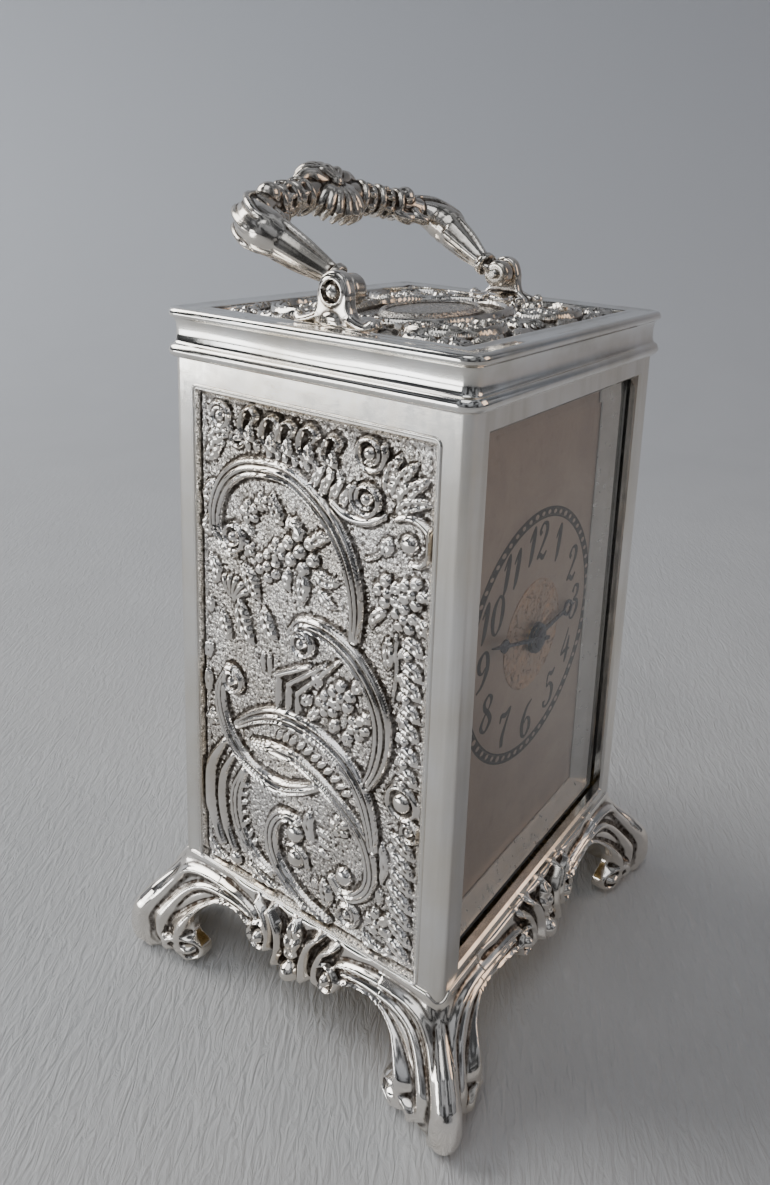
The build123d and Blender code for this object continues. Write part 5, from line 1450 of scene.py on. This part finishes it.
def dial_bevel():
    """A plain frame that slopes from the dial out to the glass."""
    section = ((17.9, 22.2, 90.2, -19.3), (18.0, 22.1, 90.3, -19.5), (19.6, 20.8, 90.7, -20.25),
               (21.3, 19.4, 91.0, -20.95), (21.5, 19.2, 91.1, -20.8), (21.5, 19.2, 91.1, -19.5),
               (21.4, 19.3, 91.0, -19.3))
    steps = 24
    verts = []
    for half, low_z, high_z, y in section:
        corners = [(-half, low_z), (half, low_z), (half, high_z), (-half, high_z)]
        for p, q in zip(corners, corners[1:] + corners[:1]):
            for t in np.linspace(0, 1, steps, endpoint=False):
                verts.append((p[0] + (q[0] - p[0]) * t, y, p[1] + (q[1] - p[1]) * t))
    faces = ring_faces(len(section), 4 * steps, closed=True)
    finish_piece(tidy_mesh("dial_bevel", [(verts, faces)], 0.0001, 30), BEVEL, "case", "dial_silvering")


dial_bevel()


# one scroll and two leaves, cut eight times round the middle
GILT_CUTS = (
    ((2.8, 0.4), (4.6, 1.3), (6.4, 1.2), (7.6, 0.0), (7.0, -1.2), (6.0, -1.0)),
    ((3.2, -0.8), (4.6, -1.6), (5.4, -2.8)),
    ((7.6, 2.2), (6.9, 3.2), (6.0, 3.6)),
)


def gilt_centre():
    """The gilt middle: fine scrolls cut into a thin disc."""
    r = Relief(-9.5, 9.5, -9.5, 9.5, 0.16)
    for k in range(8):
        c, s = polar(1, 45 * k)
        turned = [[(x * c - y * s, x * s + y * c) for x, y in line] for line in GILT_CUTS]
        r.band(turned[0], 0.6, 0.1, 1, moat=0)
        r.leaf(turned[1], 1.1, 0.1, 3)
        r.leaf(turned[2], 0.9, 0.1, 3)
    d = np.hypot(r.U, r.V)
    r.H = r.H * (d > 2.4) + 0.03 * blur(rng.standard_normal(r.H.shape))
    r.H = np.where(np.abs(d - 7.6) < 0.14, -0.06, r.H)
    R, A = np.meshgrid(np.linspace(0.02, 1, 42) * 8.2, np.linspace(0, TURN, 181)[:-1], indexing="ij")
    X, Z = R * np.cos(A), R * np.sin(A)
    across, up = (np.clip(((q - r.u[0]) / r.pitch).astype(int), 0, len(r.u) - 1) for q in (X, Z))
    face = np.stack([X, DIAL_Y - 0.1 - r.H[across, up], DIAL_Z + Z], -1)
    rim = face[-1:].copy()
    rim[..., 1] = DIAL_Y
    verts = np.concatenate([face, rim])
    rows, per = verts.shape[:2]
    faces = ring_faces(rows, per) + end_faces(rows, per)
    ob = tidy_mesh("dial_gilt_centre", [(verts.reshape(-1, 3), faces)], 0.0001, 40)
    finish_piece(ob, GILT, "case", "gilt", "dial_centre")


gilt_centre()

# ------------------------------------------------------------------ hands
HUB_Z = 55.6


def hand(name, strokes, angle, node, body, bosses):
    """A flat hand turned to its angle, with round bosses given as two depths and a radius."""
    y0, y1 = DEPTHS[node]
    c, s = polar(1, angle)
    parts = []
    for stroke in strokes:
        turned = [(x * c - z * s, HUB_Z + x * s + z * c, w) for x, z, w in stroke]
        parts.append(ribbon(turned, y0, y1, 0.15))
    for ya, yb, r in bosses:
        line = [(0, ya + (yb - ya) * t, HUB_Z) for t in (0, 0.2, 0.8, 1)]
        parts.append(tube(line, [r * 0.9, r, r, r * 0.9], 28))
    finish_piece(tidy_mesh(name, parts, 0.0001, 35), BLUED, body, "blued_steel", node)


DEPTHS = {node: [corner[1] for corner in lo_hi(node)] for node in ("minute_hand", "hour_hand")}
front, back = DEPTHS["minute_hand"]
hand("minute_hand_spade",
     [[(0, 0, 0.9), (4, 0, 0.55), (9.0, 0, 0.42), (9.9, 0, 0.7), (10.8, 0, 1.9), (11.6, 0, 1.5),
       (12.4, 0, 0.55), (14.6, 0, 0.12)],
      [(-3.0, 0, 0.5), (0, 0, 0.9)]],
     163, "minute_hand", "hands_arbor", [(front - 0.12, back, 1.5), (back, back + 0.02, 2.2)])
hand("hour_hand_loop",
     [[(0, 0, 1.0), (4, 0, 0.7), (8.2, 0, 0.5), (9.0, 0, 0.7)],
      [(9.0, 0, 0.5), (9.8, 0.95, 0.42), (11.0, 0.9, 0.42), (11.6, 0.1, 0.5), (12.4, 0, 0.12)],
      [(9.0, 0, 0.5), (9.8, -0.95, 0.42), (11.0, -0.9, 0.42), (11.6, -0.1, 0.5)]],
     4, "hour_hand", "hour_wheel", [(*DEPTHS["hour_hand"], 2.3)])

# ------------------------------------------------------------------ camera, floor and light
VIEW_PITCH, VIEW_ROLL = 13.393, 2.586
EYE = (-0.10994, -0.07366, 0.11856)
FLOOR_BEND = 0.25
FLOOR_FLAT = 0.26


def link(ob):
    bpy.context.scene.collection.objects.link(ob)
    return ob


def orient(yaw, pitch, roll):
    """The rotation of a camera, from its angles in degrees."""
    a, e, r = (math.radians(x) for x in (yaw, pitch, roll))
    back = Vector((math.sin(a) * math.cos(e), -math.cos(a) * math.cos(e), math.sin(e)))
    right = (-back).cross(Vector((0, 0, 1))).normalized()
    up = right.cross(-back)
    rolled = (math.cos(r) * right + math.sin(r) * up, math.cos(r) * up - math.sin(r) * right, back)
    return Matrix(rolled).transposed().to_4x4()


cam_data = bpy.data.cameras.new("camera")
cam_data.sensor_width = 36
cam_data.lens = 27.875
cam_data.shift_x = -0.0447
cam_data.shift_y = -0.1603
cam_data.clip_start = 0.005
cam_data.clip_end = 20
cam = link(bpy.data.objects.new("camera", cam_data))
cam.matrix_world = Matrix.Translation(EYE) @ orient(VIEW_YAW, VIEW_PITCH, VIEW_ROLL)
bpy.context.scene.camera = cam


def floor_piece():
    """A floor that curves up into a wall far behind the clock."""
    profile = [(d, 0.0) for d in np.linspace(-0.9, FLOOR_FLAT, 20)]
    profile += [(FLOOR_FLAT + FLOOR_BEND * math.sin(a), FLOOR_BEND - FLOOR_BEND * math.cos(a))
                for a in np.linspace(0.05, math.pi / 2, 24)]
    profile += [(FLOOR_FLAT + FLOOR_BEND, z) for z in np.linspace(0.3, 1.1, 8)]
    a = math.radians(-VIEW_YAW)
    away = Vector((math.sin(a), math.cos(a), 0))
    across = Vector((away.y, -away.x, 0))
    widths = np.linspace(-1.0, 1.0, 9)
    verts = [(away * d + across * w + Vector((0, 0, z))) / MM for d, z in profile for w in widths]
    ob = new_mesh("floor", verts, [tuple(f) for f in sheet_faces(len(profile), len(widths))])
    ob.data.materials.append(PAPER)


floor_piece()


def lamp(name, where, target_z, size, power, colour, size_y=None):
    """An area lamp aimed at a height on the clock's middle line."""
    data = bpy.data.lights.new(name, "AREA")
    data.energy = power
    data.color = colour
    data.size = size
    if size_y:
        data.shape = "RECTANGLE"
        data.size_y = size_y
    ob = link(bpy.data.objects.new(name, data))
    ob.location = where
    ob.rotation_euler = (Vector((0, 0, target_z)) - Vector(where)).to_track_quat("-Z", "Y").to_euler()


def around(azimuth, elevation, distance, height=0.05):
    """A point seen from the clock at an angle to the left (+) of the way to the camera."""
    a, e = math.radians(VIEW_YAW - azimuth), math.radians(elevation)
    return (distance * math.sin(a) * math.cos(e), -distance * math.cos(a) * math.cos(e),
            height + distance * math.sin(e))


COOL = (0.97, 0.99, 1.0)
lamp("window", around(104, 36, 0.95), 0.06, 0.45, 6.0, (1.0, 0.985, 0.96), 0.7)
lamp("room", around(20, 62, 1.2), 0.06, 0.7, 2.4, (0.93, 0.96, 1.0))
lamp("strip", around(64, 7, 0.8), 0.07, 0.42, 1.1, COOL, 0.16)
lamp("sill", (-0.353, 0.229, 0.034), 0.09, 0.36, 0.3, COOL, 0.055)
lamp("warm_side", around(-92, 24, 0.9), 0.02, 0.4, 0.9, (1.0, 0.72, 0.52))


def studio_world():
    """An uneven room for the silver to reflect; the camera sees a plain backdrop."""
    world = bpy.data.worlds.new("studio")
    bpy.context.scene.world = world
    w = Net(world, "OutputWorld", "Generated")
    ramp = w.node("ValToRGB")
    w.put(ramp.inputs[0], w.map(w.axis(w.coord, "Z"), -1, 1))
    stops = ((0.35, (0.035, 0.035, 0.037, 1)), (0.9, (0.26, 0.275, 0.30, 1)))
    for stop, (position, colour) in zip(ramp.color_ramp.elements, stops):
        stop.position = position
        stop.color = colour
    patches = w.map(w.noise(2.6, 2, 0.5, 0.8), 0.44, 0.60, 0.25, 2.2)
    uneven = w.node("VectorMath", operation="SCALE")
    w.put(uneven.inputs[0], ramp.outputs[0])
    w.put(uneven.inputs["Scale"], patches)
    seen = w.node("LightPath").outputs["Is Camera Ray"]
    light = w.node("Background")
    w.put(light.inputs[0], w.mix(seen, uneven.outputs[0], ramp.outputs[0]))
    w.put(light.inputs[1], 0.8)
    w.put(w.out.inputs[0], light.outputs[0])


studio_world()
